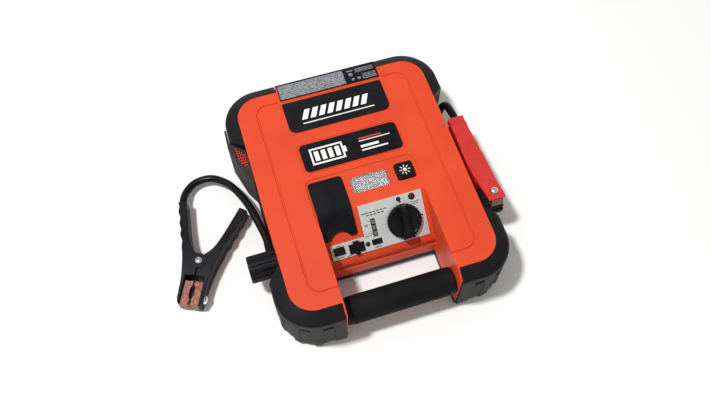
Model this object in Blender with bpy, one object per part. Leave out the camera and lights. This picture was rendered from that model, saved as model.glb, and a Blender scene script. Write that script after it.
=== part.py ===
"""Portable jump starter pack with two battery clamps, lying on its back.

Units are metres. +Z points out of the front panel, +Y points to the top end and +X to the
right of the panel as its labels are read. The origin is on the surface the pack lies on,
under the middle of the case.
"""

import bmesh
import bpy
import math
from mathutils import Matrix, Vector

# ---- Driving dimensions -------------------------------------------------------------
FACE_Z = 0.080            # front face above the surface
CASE_HALF_X = 0.118       # orange front cover
CASE_HALF_Y = 0.141
CASE_CORNER = 0.028
WALL = 0.0026
SPLIT_Z = 0.012           # parting line between the two covers
REAR_LIP = 0.0025         # how far the rear cover stands out round the front cover
REAR_BOTTOM = 0.002       # the rear cover's floor; its feet reach z = 0
GAP = 0.0003

CHANNEL_HALF_X = 0.064    # the opening that holds the ramp, the hand hole and the handle
POCKET_HALF_X = 0.065     # shallow pocket in the face above the ramp
POCKET_TOP_Y = 0.0105
POCKET_Z = 0.07885
RAMP_TOP_Y = -0.03704     # crease where the ramp leaves the pocket floor
RAMP_ANGLE = math.radians(40.0)
RAMP_LENGTH = 0.057
NOSE_Y = -0.0840          # foot of the ramp, where it rounds into the hand hole
HOLE_BACK_Y = -0.0876     # lower wall at the back of the hand hole
REAR_HOLE_Y = -0.0904     # the same wall on the rear cover
BRIDGE_END_Y = 0.1485     # top end between the upper bumpers

BUMPER_OFFSET = 0.0165    # how far a bumper stands out from the case
BUMPER_END_X = {-1: 0.0670, 1: 0.0645}  # by the handle and by the top end
BUMPER_END_Y = 0.078
BUMPER_SLANT = 0.95
BUMPER_TOP = 0.0797

GRIP_Y = -0.1395
GRIP_Z = 0.042
GRIP_RADIUS = 0.016
CORE_RADIUS = 0.009

POST_Y = -0.060           # ribbed posts that the clamps bite when stowed
POST_Z = 0.042
POST_RADIUS = 0.0162
POST_LENGTH = 0.0338

PANEL_THICK = 0.0012
KNOB_X, KNOB_S = 0.0319, 0.0306
KNOB_RADIUS = 0.0203

CABLE_DIAMETER = 0.0095
CLAMP_HANDLE = 0.0825     # pivot to handle end
CLAMP_JAW = 0.0535        # pivot to jaw tip
JAW_RIVET = 0.0430
HANDLE_HALF_ANGLE = math.radians(27.2)
HANDLE_AXIS = math.radians(17.0)
JAW_HOLLOW = 0.0048
POST_TO_PIVOT = 0.0335

BLACK_PIVOT = Vector((-0.2054, -0.0224, 0.0134))
BLACK_TURN = math.radians(65.0)
RED_PIVOT = Vector((0.1404, POST_Y + POST_TO_PIVOT, POST_Z))
RED_OPEN = math.asin((POST_RADIUS + 0.0004 - JAW_HOLLOW) / POST_TO_PIVOT)

ORANGE = ((0.80, 0.10, 0.03, 1), 0.42, 0.0)
RED = ((0.62, 0.035, 0.03, 1), 0.40, 0.0)
VENT_RED = ((0.36, 0.02, 0.015, 1), 0.55, 0.0)
BLACK = ((0.018, 0.018, 0.020, 1), 0.50, 0.0)
RUBBER = ((0.035, 0.035, 0.037, 1), 0.75, 0.0)
BUTTON_BLACK = ((0.012, 0.012, 0.014, 1), 0.40, 0.0)
SILVER = ((0.45, 0.47, 0.50, 1), 0.40, 0.3)
ALUMINIUM = ((0.62, 0.64, 0.63, 1), 0.38, 0.6)
STEEL = ((0.55, 0.55, 0.56, 1), 0.25, 1.0)
COPPER = ((0.75, 0.36, 0.22, 1), 0.30, 1.0)
CLEAR = ((0.85, 0.88, 0.90, 1), 0.06, 0.0)
MIRROR = ((0.80, 0.80, 0.82, 1), 0.12, 1.0)
LED_RED = ((0.35, 0.01, 0.01, 1), 0.25, 0.0)
LED_DARK = ((0.03, 0.035, 0.03, 1), 0.25, 0.0)
BOARD = ((0.02, 0.16, 0.06, 1), 0.50, 0.0)
BATTERY = ((0.05, 0.05, 0.06, 1), 0.55, 0.0)


# ---- Helpers ------------------------------------------------------------------------
def clear_scene():
    for obj in list(bpy.data.objects):
        bpy.data.objects.remove(obj, do_unlink=True)


def material(name, look):
    made = bpy.data.materials.get(name)
    if made is None:
        made = bpy.data.materials.new(name)
        made.use_nodes = True
        shader = made.node_tree.nodes["Principled BSDF"]
        shader.inputs["Base Color"].default_value = look[0]
        shader.inputs["Roughness"].default_value = look[1]
        shader.inputs["Metallic"].default_value = look[2]
    return made


def place(obj, look, parent=None, location=(0, 0, 0), rotation=(0, 0, 0)):
    """Links an object, and gives it its material or marks it as a cutter."""
    bpy.context.scene.collection.objects.link(obj)
    obj.parent = parent
    obj.location = location
    obj.rotation_euler = rotation
    if look is None:
        obj.hide_render = True
        obj.display_type = "WIRE"
    else:
        obj.data.materials.append(material(obj.name + "_finish", look))
    return obj


def empty(name, location, rotation=(0, 0, 0), parent=None):
    obj = bpy.data.objects.new(name, None)
    bpy.context.scene.collection.objects.link(obj)
    obj.location = location
    obj.rotation_euler = rotation
    obj.parent = parent
    return obj


def finish_mesh(name, bm, smooth=True):
    bmesh.ops.recalc_face_normals(bm, faces=bm.faces)
    mesh = bpy.data.meshes.new(name)
    bm.to_mesh(mesh)
    bm.free()
    if smooth:
        mesh.shade_smooth()
        mesh.set_sharp_from_angle(angle=math.radians(32))
    return bpy.data.objects.new(name, mesh)


def prism(name, outline, low, high, axis="Z"):
    """Extrudes a closed outline from low to high along an axis.

    The outline holds (x, y) for Z, (y, z) for X and (x, z) for Y.
    """
    place_point = {
        "Z": lambda a, b, c: (a, b, c),
        "X": lambda a, b, c: (c, a, b),
        "Y": lambda a, b, c: (a, c, b),
    }[axis]
    bm = bmesh.new()
    first = [bm.verts.new(place_point(a, b, low)) for a, b in outline]
    last = [bm.verts.new(place_point(a, b, high)) for a, b in outline]
    bm.faces.new(first)
    bm.faces.new(last)
    for i in range(len(outline)):
        j = (i + 1) % len(outline)
        bm.faces.new((first[i], first[j], last[j], last[i]))
    return finish_mesh(name, bm, smooth=False)


def box(name, low, high):
    corners = [(low[0], low[1]), (high[0], low[1]), (high[0], high[1]), (low[0], high[1])]
    return prism(name, corners, low[2], high[2])


def rounded_rectangle(centre, half_x, half_y, radii, steps=6):
    """Corner radii run from the lower left corner, counter-clockwise."""
    if not isinstance(radii, (tuple, list)):
        radii = (radii,) * 4
    signs = ((-1, -1), (1, -1), (1, 1), (-1, 1))
    points = []
    for number, ((sign_x, sign_y), radius) in enumerate(zip(signs, radii)):
        middle_x = centre[0] + sign_x * (half_x - radius)
        middle_y = centre[1] + sign_y * (half_y - radius)
        for step in range(steps + 1):
            angle = math.pi + (number + step / steps) * math.pi / 2
            points.append(
                (middle_x + radius * math.cos(angle), middle_y + radius * math.sin(angle))
            )
    return points


def lathe(name, profile, segments=24, tube=False, axis="Z"):
    """Turns (radius, height) points. A solid's profile starts and ends on the axis."""
    turn = {
        "Z": lambda x, y, h: (x, y, h),
        "X": lambda x, y, h: (h, x, y),
    }[axis]
    bm = bmesh.new()
    rings = []
    for radius, height in profile:
        if radius == 0:
            rings.append([bm.verts.new(turn(0, 0, height))])
            continue
        angles = [2 * math.pi * i / segments for i in range(segments)]
        rings.append(
            [
                bm.verts.new(turn(radius * math.cos(a), radius * math.sin(a), height))
                for a in angles
            ]
        )
    pairs = list(zip(rings, rings[1:]))
    if tube:
        pairs.append((rings[-1], rings[0]))
    for one, two in pairs:
        for i in range(segments):
            j = (i + 1) % segments
            loop = [one[i % len(one)], one[j % len(one)], two[j % len(two)], two[i % len(two)]]
            kept = [v for k, v in enumerate(loop) if v is not loop[k - 1]]
            bm.faces.new(kept)
    return finish_mesh(name, bm)


def cylinder(name, radius, low, high, segments=24, axis="Z"):
    return lathe(name, [(0, low), (radius, low), (radius, high), (0, high)], segments, axis=axis)


def cut(obj, cutter):
    boolean = obj.modifiers.new("cut_" + cutter.name, "BOOLEAN")
    boolean.object = cutter
    boolean.operation = "DIFFERENCE"


def add(obj, other):
    boolean = obj.modifiers.new("add_" + other.name, "BOOLEAN")
    boolean.object = other
    boolean.operation = "UNION"


def smooth_route(points, spacing):
    """Points at about this spacing along a Catmull-Rom curve through the route's points."""
    guide = [Vector(p) for p in points]
    guide = [2 * guide[0] - guide[1]] + guide + [2 * guide[-1] - guide[-2]]
    dense = []
    for a, b, c, d in zip(guide, guide[1:], guide[2:], guide[3:]):
        for step in range(40):
            t = step / 40
            dense.append(
                0.5
                * (
                    2 * b
                    + (c - a) * t
                    + (2 * a - 5 * b + 4 * c - d) * t * t
                    + (3 * b - a - 3 * c + d) * t * t * t
                )
            )
    dense.append(guide[-2].copy())
    lengths = [0.0]
    for one, two in zip(dense, dense[1:]):
        lengths.append(lengths[-1] + (two - one).length)
    count = max(2, round(lengths[-1] / spacing))
    kept = []
    at = 0
    for i in range(count + 1):
        target = lengths[-1] * i / count
        while at < len(lengths) - 2 and lengths[at + 1] < target:
            at += 1
        share = (target - lengths[at]) / max(lengths[at + 1] - lengths[at], 1e-9)
        kept.append(dense[at].lerp(dense[at + 1], min(max(share, 0.0), 1.0)))
    return kept


def tube_curve(name, points, diameter, sides):
    curve = bpy.data.curves.new(name, "CURVE")
    curve.dimensions = "3D"
    curve.bevel_depth = diameter / 2
    curve.bevel_resolution = sides
    curve.use_fill_caps = True
    spline = curve.splines.new("POLY")
    spline.points.add(len(points) - 1)
    for point, at in zip(spline.points, points):
        point.co = (*at, 1.0)
    return bpy.data.objects.new(name, curve)


# ---- Case ---------------------------------------------------------------------------
def channel_outline(offset=0.0):
    """Side view (y, z) of the opening for ramp, hand hole and handle, grown by offset."""
    slope_y, slope_z = math.cos(RAMP_ANGLE), math.sin(RAMP_ANGLE)
    foot_y = RAMP_TOP_Y - RAMP_LENGTH * slope_y
    foot_z = POCKET_Z - RAMP_LENGTH * slope_z
    lower = offset / math.cos(RAMP_ANGLE)
    return [
        (RAMP_TOP_Y + 0.1 * slope_y, POCKET_Z + 0.1 * slope_z - lower),
        (foot_y, foot_z - lower),
        (NOSE_Y + offset * 0.6, 0.0395 - offset),
        (NOSE_Y - 0.0012 + offset, 0.0370 - offset),
        (NOSE_Y - 0.0012 + offset, 0.0290 - offset),
        (HOLE_BACK_Y + offset, 0.0282 - offset),
        (HOLE_BACK_Y + offset, -0.010),
        (-0.200, -0.010),
        (-0.200, 0.200),
        (RAMP_TOP_Y + 0.1 * slope_y, 0.200),
    ]


def case_outline(grow):
    return rounded_rectangle(
        (0, 0), CASE_HALF_X + grow, CASE_HALF_Y + grow, CASE_CORNER + grow, steps=7
    )


def cheek_tab(name, side, low_z, high_z):
    """Plate beside the grip that reaches past the end of the case."""
    edge = (
        (GRIP_Y - 0.0145, low_z),
        (GRIP_Y + 0.010, low_z),
        (GRIP_Y + 0.010, high_z),
        (-CASE_HALF_Y, high_z),
        (GRIP_Y - 0.0145, min(high_z, FACE_Z - 0.0075)),
    )
    inner, outer = side * CHANNEL_HALF_X, side * (CHANNEL_HALF_X + WALL)
    return prism(name, edge, min(inner, outer), max(inner, outer), "X")


def ramp_cutter(name, outline, ramp, deep=0.006):
    """A cutter through the ramp, drawn on it: x to the right and y up the slope."""
    return place(prism(name, outline, -deep, 0.010), None, ramp)


def strip_point(x, s):
    """A point on the ramp at distance s down from its crease."""
    return (x, -s)


def front_cover(ramp):
    cover = place(prism("front_cover", case_outline(0), SPLIT_Z, FACE_Z), ORANGE)

    bridge = box(
        "bridge_block",
        (-CHANNEL_HALF_X, 0.130, SPLIT_Z + 0.0001),
        (CHANNEL_HALF_X, BRIDGE_END_Y, FACE_Z),
    )
    add(cover, place(bridge, None))
    for side, label in ((-1, "left"), (1, "right")):
        tab = cheek_tab("cheek_tab_" + label, side, SPLIT_Z + 0.0001, FACE_Z)
        add(cover, place(tab, None))

    cavity = place(
        prism("case_cavity", case_outline(-WALL), SPLIT_Z - 0.010, FACE_Z - WALL), None
    )
    end_room = box(
        "bridge_cavity",
        (WALL - CHANNEL_HALF_X, 0.120, SPLIT_Z - 0.009),
        (CHANNEL_HALF_X - WALL, BRIDGE_END_Y - WALL, FACE_Z - WALL - 0.0001),
    )
    add(cavity, place(end_room, None))
    keep_walls = prism(
        "channel_walls",
        channel_outline(WALL),
        -CHANNEL_HALF_X - WALL,
        CHANNEL_HALF_X + WALL,
        "X",
    )
    cut(cavity, place(keep_walls, None))
    pocket_wall = box(
        "pocket_wall",
        (-POCKET_HALF_X - WALL, RAMP_TOP_Y - 0.005, POCKET_Z - WALL),
        (POCKET_HALF_X + WALL, POCKET_TOP_Y + WALL, 0.100),
    )
    cut(cavity, place(pocket_wall, None))
    for number, x in enumerate((-0.020, 0.0665)):
        boss = cylinder(f"board_boss_{number}", 0.0035, 0.0622, 0.100, 10)
        cut(cavity, place(boss, None, location=(x, -0.0105, 0)))
    cut(cover, cavity)

    channel = prism(
        "channel_opening", channel_outline(), -CHANNEL_HALF_X, CHANNEL_HALF_X, "X"
    )
    cut(cover, place(channel, None))
    pocket = prism(
        "face_pocket",
        rounded_rectangle((0, -0.020), POCKET_HALF_X, 0.0305, (0.001, 0.001, 0.008, 0.008), 4),
        POCKET_Z,
        0.100,
    )
    cut(cover, place(pocket, None))
    cut(cover, face_groove())

    lens_hole = box("lens_hole", (-0.0142, -0.0209, 0.060), (0.0288, -0.0002, 0.100))
    cut(cover, place(lens_hole, None))
    button_hole = prism(
        "light_button_hole", rounded_rectangle((0.0498, -0.0095), 0.0110, 0.0110, 0.0042, 4), 0.060, 0.100
    )
    cut(cover, place(button_hole, None))

    openings = (
        ("socket_hole", circle(SOCKET_X, SOCKET_S, 0.0104)),
        ("knob_hole", circle(KNOB_X, KNOB_S, 0.0062)),
        ("window_hole", rectangle(-0.0036, 0.0287, 0.0030, 0.0110)),
        ("led_small_hole", circle(0.0307, 0.0045, 0.0023)),
        ("led_large_hole", circle(0.0464, 0.0053, 0.0036)),
        ("led_dot_hole", circle(-0.0149, 0.0459, 0.0024)),
        ("test_hole", rectangle(-0.0037, 0.0457, 0.0063, 0.0036)),
        ("inlet_hole", rectangle(-0.0283, 0.0460, 0.0089, 0.0050)),
        ("breaker_hole", rectangle(-0.0486, 0.0448, 0.0068, 0.0051)),
    )
    for name, outline in openings:
        cut(cover, ramp_cutter(name, outline, ramp))

    for side, label in ((-1, "left"), (1, "right")):
        low, high = sorted((side * 0.060, side * 0.070))
        core_hole = cylinder("core_hole_" + label, CORE_RADIUS + GAP, low, high, 20, "X")
        cut(cover, place(core_hole, None, location=(0, GRIP_Y, GRIP_Z)))
        low, high = sorted((side * 0.110, side * 0.125))
        gland_hole = cylinder("gland_hole_" + label, 0.0055, low, high, 12, "X")
        cut(cover, place(gland_hole, None, location=(0, GLAND_Y, GLAND_Z)))
    return cover


def circle(x, s, radius, count=20):
    middle = strip_point(x, s)
    return [
        (
            middle[0] + radius * math.cos(2 * math.pi * i / count),
            middle[1] + radius * math.sin(2 * math.pi * i / count),
        )
        for i in range(count)
    ]


def rectangle(x, s, half_x, half_s, radius=0.0008):
    return rounded_rectangle(strip_point(x, s), half_x, half_s, radius, 2)


def face_groove():
    """A fine groove that frames the two side fields of the face."""
    ring = prism(
        "face_groove",
        rounded_rectangle((0, 0.0010), 0.0955, 0.1245, 0.014, 5),
        FACE_Z - 0.0010,
        FACE_Z + 0.010,
    )
    inside = prism(
        "groove_inside",
        rounded_rectangle((0, 0.0010), 0.0938, 0.1228, 0.0123, 5),
        FACE_Z - 0.0100,
        FACE_Z + 0.020,
    )
    middle = box(
        "groove_break", (-0.0662, -0.150, FACE_Z - 0.0110), (0.0662, 0.150, FACE_Z + 0.030)
    )
    cut(ring, place(inside, None))
    cut(ring, place(middle, None))
    return place(ring, None)


def rear_cover():
    cover = place(
        prism("rear_cover", case_outline(REAR_LIP), REAR_BOTTOM, SPLIT_Z - GAP), BLACK
    )
    bridge = box(
        "rear_bridge",
        (GAP - CHANNEL_HALF_X, 0.130, REAR_BOTTOM + 0.0001),
        (CHANNEL_HALF_X - GAP, BRIDGE_END_Y + REAR_LIP, SPLIT_Z - GAP - 0.0001),
    )
    add(cover, place(bridge, None))
    lip = box(
        "rear_top_lip",
        (GAP - CHANNEL_HALF_X, BRIDGE_END_Y + GAP, REAR_BOTTOM + 0.002),
        (CHANNEL_HALF_X - GAP, BRIDGE_END_Y + REAR_LIP - 0.0001, FACE_Z - 0.0005),
    )
    add(cover, place(lip, None))
    for side, label in ((-1, "left"), (1, "right")):
        tab = cheek_tab("rear_tab_" + label, side, REAR_BOTTOM + 0.0001, SPLIT_Z - GAP - 0.0001)
        add(cover, place(tab, None))

    cavity = place(
        prism("rear_cavity", case_outline(REAR_LIP - WALL), REAR_BOTTOM + WALL, 0.050), None
    )
    end_room = box(
        "rear_bridge_cavity",
        (WALL - CHANNEL_HALF_X, 0.120, REAR_BOTTOM + WALL + 0.0001),
        (CHANNEL_HALF_X - WALL, BRIDGE_END_Y - GAP - 0.001, 0.049),
    )
    add(cavity, place(end_room, None))
    walls = box(
        "rear_hole_walls",
        (-CHANNEL_HALF_X - WALL, -0.200, -0.010),
        (CHANNEL_HALF_X + WALL, REAR_HOLE_Y + WALL, 0.060),
    )
    cut(cavity, place(walls, None))
    for number, (x, y) in enumerate(BOARD_POSTS):
        post = cylinder(f"board_post_{number}", 0.0032, -0.010, 0.0120, 10)
        cut(cavity, place(post, None, location=(x, y, 0)))
    cut(cover, cavity)
    hole = box(
        "rear_hole", (-CHANNEL_HALF_X, -0.190, -0.009), (CHANNEL_HALF_X, REAR_HOLE_Y, 0.059)
    )
    cut(cover, place(hole, None))
    for number, (x, y) in enumerate(((-1, -1), (1, -1), (1, 1), (-1, 1))):
        foot = cylinder(f"foot_{number}", 0.010, 0.0, REAR_BOTTOM + 0.0005, 16)
        add(cover, place(foot, None, location=(x * 0.092, y * 0.112, 0)))
    return cover


def bumper(label, side_x, side_y):
    """One corner guard: a moulding swept round the case corner, with blind slots."""
    profile = (
        (GAP, BUMPER_TOP),
        (0.0145, 0.0723),
        (BUMPER_OFFSET, 0.0690),
        (BUMPER_OFFSET, 0.0060),
        (0.0145, 0.0030),
        (REAR_LIP + 2 * GAP, 0.0030),
        (REAR_LIP + 2 * GAP, SPLIT_Z + GAP),
        (GAP, SPLIT_Z + GAP),
    )
    middle_x, middle_y = CASE_HALF_X - CASE_CORNER, CASE_HALF_Y - CASE_CORNER
    stations = [(BUMPER_END_X[side_y], CASE_HALF_Y, 0.0, 1.0, 0.0)]
    for step in range(10):
        angle = math.radians(90 - 10 * step)
        out_x, out_y = math.cos(angle), math.sin(angle)
        stations.append(
            (middle_x + CASE_CORNER * out_x, middle_y + CASE_CORNER * out_y, out_x, out_y, 0.0)
        )
    stations.append((CASE_HALF_X, BUMPER_END_Y, 1.0, 0.0, BUMPER_SLANT))

    bm = bmesh.new()
    rings = []
    for x, y, out_x, out_y, slant in stations:
        rings.append(
            [
                bm.verts.new(
                    (
                        side_x * (x + offset * out_x),
                        side_y * (y + offset * (out_y + slant)),
                        z,
                    )
                )
                for offset, z in profile
            ]
        )
    for one, two in zip(rings, rings[1:]):
        for i in range(len(profile)):
            j = (i + 1) % len(profile)
            bm.faces.new((one[i], one[j], two[j], two[i]))
    bm.faces.new(rings[0])
    bm.faces.new(rings[-1])
    guard = place(finish_mesh("bumper_" + label, bm), RUBBER)

    reach = CASE_CORNER + BUMPER_OFFSET
    slots = ((0.0866 - middle_x, reach, 90), (None, None, 61), (None, None, 31))
    for number, (x, y, degrees) in enumerate(slots):
        angle = math.radians(degrees)
        if x is None:
            x, y = reach * math.cos(angle), reach * math.sin(angle)
        turn = math.atan2(side_y * math.sin(angle), side_x * math.cos(angle))
        slot = box(f"slot_{label}_{number}", (-0.003, -0.0055, -0.0024), (0.004, 0.0055, 0.0024))
        at = (side_x * (middle_x + x), side_y * (middle_y + y), 0.0600)
        cut(guard, place(slot, None, location=at, rotation=(0, 0, turn)))
    return guard


def handle():
    core_end = CHANNEL_HALF_X + WALL - 0.0001
    core = [(0, -core_end), (CORE_RADIUS, -core_end), (CORE_RADIUS, core_end), (0, core_end)]
    place(lathe("handle_core", core, 20, axis="X"), STEEL, location=(0, GRIP_Y, GRIP_Z))
    end = CHANNEL_HALF_X - GAP
    bore = CORE_RADIUS + GAP
    sleeve = [(bore, -end), (0.0140, -end), (0.0154, 0.0015 - end), (GRIP_RADIUS, 0.004 - end)]
    sleeve += [(GRIP_RADIUS, end - 0.004), (0.0154, end - 0.0015), (0.0140, end), (bore, end)]
    place(
        lathe("handle_grip", sleeve, 24, tube=True, axis="X"),
        BLACK,
        location=(0, GRIP_Y, GRIP_Z),
    )


def face_plates():
    """The flat plates on the face, in blank form."""
    low, high = FACE_Z + GAP, FACE_Z + 0.0012
    plates = (
        ("info_label", (0.0005, 0.1368), 0.0630, 0.0113, 0.0008, SILVER),
        ("brand_plate", (0, 0.0984), 0.0625, 0.0221, (0.009, 0.009, 0.0015, 0.0015), BLACK),
        ("rating_plate", (0, 0.0389), 0.0595, 0.0186, 0.0060, BLACK),
    )
    for name, centre, half_x, half_y, radii, look in plates:
        outline = rounded_rectangle(centre, half_x, half_y, radii, 4)
        place(prism(name, outline, low, high), look)


# ---- 12 V socket and its cover ------------------------------------------------------
COVER_X = -0.0432
COVER_HALF_X = 0.0202
COVER_TOP_Y = 0.0057
COVER_THICK = 0.0022
HINGE_RISE = 0.0025
SOCKET_X, SOCKET_S = -0.0434, 0.0128


def socket_cover():
    """A fixed strap on the face and a flap that folds at the crease of the ramp."""
    hinge_y = RAMP_TOP_Y - HINGE_RISE * math.tan(RAMP_ANGLE / 2)
    hinge_z = POCKET_Z + HINGE_RISE
    low = hinge_z - COVER_THICK
    back = COVER_THICK * math.tan(RAMP_ANGLE)
    strap = prism(
        "socket_cover_strap",
        rounded_rectangle(
            (COVER_X, (COVER_TOP_Y + hinge_y) / 2),
            COVER_HALF_X,
            (COVER_TOP_Y - hinge_y) / 2,
            (0.0002, 0.0002, 0.004, 0.004),
            4,
        ),
        low,
        hinge_z,
    )
    place(strap, BLACK)
    miter = prism(
        "strap_miter",
        (
            (hinge_y + 0.00035, hinge_z + 0.001),
            (hinge_y + 0.00035, hinge_z),
            (hinge_y + 0.00035 + back, low),
            (hinge_y + 0.00035 + back + 0.0008, low - 0.001),
            (hinge_y - 0.010, low - 0.001),
            (hinge_y - 0.010, hinge_z + 0.001),
        ),
        -0.080,
        0.0,
        "X",
    )
    cut(strap, place(miter, None))

    hinge = empty("flap_hinge", (COVER_X, hinge_y, hinge_z), (RAMP_ANGLE, 0, 0))
    reach = 0.0305 + HINGE_RISE * math.tan(RAMP_ANGLE / 2)
    outline = rounded_rectangle(
        (0, -reach / 2), COVER_HALF_X - 0.0004, reach / 2, (0.003, 0.003, 0.0004, 0.0004), 4
    )
    flap = place(prism("socket_cover_flap", outline, -0.0019, 0.0), BLACK, hinge)
    notch = cylinder("flap_notch", 0.0124, -0.010, 0.010, 28)
    cut(flap, place(notch, None, hinge, location=(0.0, -reach - 0.0046, 0)))


def dc_socket(ramp):
    at = (SOCKET_X, -SOCKET_S, 0)
    shell = [
        (0.0104, -0.0340),
        (0.0128, -0.0340),
        (0.0128, -0.0090),
        (0.0148, -0.0090),
        (0.0148, -0.0066),
        (0.0128, -0.0066),
        (0.0128, -0.0046),
        (0.0104, -0.0046),
    ]
    place(lathe("dc_socket_barrel", shell, 24, tube=True), STEEL, ramp, at)
    base = [
        (0, -0.0390),
        (0.0128, -0.0390),
        (0.0128, -0.0343),
        (0.0100, -0.0343),
        (0.0100, -0.0310),
        (0.0030, -0.0310),
        (0.0030, -0.0265),
        (0.0018, -0.0250),
        (0, -0.0250),
    ]
    place(lathe("dc_socket_contact", base, 20), STEEL, ramp, at)


# ---- Work light and its button ------------------------------------------------------
def work_light():
    low, high = (-0.0139, -0.0206), (0.0285, -0.0005)
    place(box("work_light_lens", (*low, 0.0765), (*high, 0.0794)), CLEAR)
    reflector = place(
        box("work_light_reflector", (*low, 0.0640), (*high, 0.0762)), MIRROR
    )
    rim = 0.0012
    dish = bmesh.new()
    top = [(low[0] + rim, low[1] + rim), (high[0] - rim, low[1] + rim)]
    top += [(high[0] - rim, high[1] - rim), (low[0] + rim, high[1] - rim)]
    depth = ((0.0790, 0.0), (0.0762, 0.0), (0.0665, 0.0058))
    rings = []
    for z, inset in depth:
        rings.append(
            [
                dish.verts.new(
                    (
                        x + math.copysign(inset, 0.0073 - x),
                        y + math.copysign(inset, -0.01055 - y),
                        z,
                    )
                )
                for x, y in top
            ]
        )
    for one, two in zip(rings, rings[1:]):
        for i in range(4):
            j = (i + 1) % 4
            dish.faces.new((one[i], one[j], two[j], two[i]))
    dish.faces.new(rings[0])
    dish.faces.new(rings[-1])
    cut(reflector, place(finish_mesh("reflector_dish", dish, smooth=False), None))

    board = place(
        box("work_light_board", (-0.0245, -0.0215, 0.0600), (0.0710, 0.0010, 0.0618)), BOARD
    )
    for number in range(3):
        led = box(f"led_chip_{number}", (-0.0017, -0.0017, 0.0610), (0.0017, 0.0017, 0.0634))
        add(board, place(led, None, location=(-0.0040 + 0.0113 * number, -0.0105, 0)))

    outline = rounded_rectangle((0.0498, -0.0095), 0.0106, 0.0106, 0.0040, 4)
    button = place(prism("light_button", outline, 0.0757, 0.0818), BUTTON_BLACK)
    rounding = button.modifiers.new("edges", "BEVEL")
    rounding.width = 0.0006
    rounding.segments = 1
    rounding.limit_method = "ANGLE"
    switch = box("light_switch", (0.0435, -0.0155, 0.0610), (0.0561, -0.0035, 0.0700))
    add(board, place(switch, None))
    plunger = cylinder("light_plunger", 0.0028, 0.0690, 0.0739, 12)
    add(board, place(plunger, None, location=(0.0498, -0.0095, 0)))


# ---- Control panel ------------------------------------------------------------------
def control_panel(ramp):
    outline = [
        strip_point(-0.0169, 0.0),
        strip_point(-0.0169, 0.0364),
        strip_point(-0.0578, 0.0364),
        strip_point(-0.0578, 0.0546),
        strip_point(0.0587, 0.0546),
        strip_point(0.0587, 0.0),
    ]
    panel = place(
        prism("control_panel", outline, GAP, GAP + PANEL_THICK), ALUMINIUM, ramp
    )
    openings = (
        ("panel_knob", circle(KNOB_X, KNOB_S, 0.0060)),
        ("panel_window", rectangle(-0.0036, 0.0287, 0.0028, 0.0108)),
        ("panel_led_small", circle(0.0307, 0.0045, 0.0021)),
        ("panel_led_large", circle(0.0464, 0.0053, 0.0034)),
        ("panel_led_dot", circle(-0.0149, 0.0459, 0.0022)),
        ("panel_test", rectangle(-0.0037, 0.0457, 0.0061, 0.0034)),
        ("panel_inlet", rectangle(-0.0283, 0.0460, 0.0087, 0.0048)),
        ("panel_breaker", rectangle(-0.0486, 0.0448, 0.0066, 0.0049)),
    )
    for name, hole in openings:
        cut(panel, ramp_cutter(name, hole, ramp))

    place(
        prism("charge_window", rectangle(-0.0036, 0.0287, 0.0025, 0.0105), -0.0026, 0.0018),
        LED_DARK,
        ramp,
    )
    for name, x, s, radius, look in (
        ("status_led_small", 0.0307, 0.0045, 0.0018, LED_DARK),
        ("status_led_large", 0.0464, 0.0053, 0.0031, LED_RED),
        ("status_led_dot", -0.0149, 0.0459, 0.0019, LED_DARK),
    ):
        dome = [(0, -0.0064), (radius, -0.0064), (radius, 0.0018)]
        dome += [(radius * 0.7, 0.0018 + radius * 0.35), (0, 0.0018 + radius * 0.5)]
        place(lathe(name, dome, 14), look, ramp, strip_point(x, s) + (0,))

    board = place(
        prism("panel_board", rectangle(-0.0245, 0.0455, 0.0360, 0.0075), -0.0085, -0.0069),
        BOARD,
        ramp,
    )
    upper = prism(
        "panel_board_upper", rectangle(-0.0085, 0.0215, 0.0090, 0.0210), -0.0084, -0.0070
    )
    add(board, place(upper, None, ramp))
    led_arm = prism(
        "panel_board_arm", rectangle(0.0240, 0.0050, 0.0270, 0.0042), -0.00845, -0.00695
    )
    add(board, place(led_arm, None, ramp))
    relief = prism("board_relief", rectangle(-0.0283, 0.0460, 0.0090, 0.0051), -0.02, 0.0)
    cut(board, place(relief, None, ramp))


def panel_buttons(ramp):
    for name, x, s, half_x, half_s, top in (
        ("test_button", -0.0037, 0.0457, 0.0057, 0.0030, 0.0030),
        ("breaker_button", -0.0486, 0.0448, 0.0062, 0.0045, 0.0034),
    ):
        outline = rounded_rectangle((0, 0), half_x, half_s, 0.0010, 2)
        button = prism(name, outline, -0.0042, top)
        button = place(button, BUTTON_BLACK, ramp, strip_point(x, s) + (0,))
        rounding = button.modifiers.new("edges", "BEVEL")
        rounding.width = 0.0004
        rounding.segments = 1
        rounding.limit_method = "ANGLE"

    housing = place(
        prism("charge_inlet", rectangle(-0.0283, 0.0460, 0.0084, 0.0045), -0.0180, 0.0015),
        BUTTON_BLACK,
        ramp,
    )
    recess = prism("inlet_recess", rectangle(-0.0283, 0.0460, 0.0068, 0.0031), -0.0140, 0.010)
    for number, x in enumerate((-0.0321, -0.0245)):
        pin = prism(f"inlet_pin_{number}", circle(x, 0.0460, 0.0010, 8), -0.030, -0.0030)
        cut(recess, place(pin, None, ramp))
    cut(housing, place(recess, None, ramp))

    hinge = empty("inlet_hinge", strip_point(-0.0283, 0.0379) + (0.0020,), parent=ramp)
    lid = [(-0.0090, -0.0026), (-0.0090, -0.0134), (-0.0030, -0.0134), (-0.0022, -0.0164)]
    lid += [(0.0022, -0.0164), (0.0030, -0.0134), (0.0090, -0.0134), (0.0090, -0.0026)]
    lid += [(0.0035, -0.0026), (0.0035, 0), (-0.0035, 0), (-0.0035, -0.0026)]
    place(prism("charge_inlet_cover", lid, 0.0, 0.0020), BUTTON_BLACK, hinge)


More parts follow.
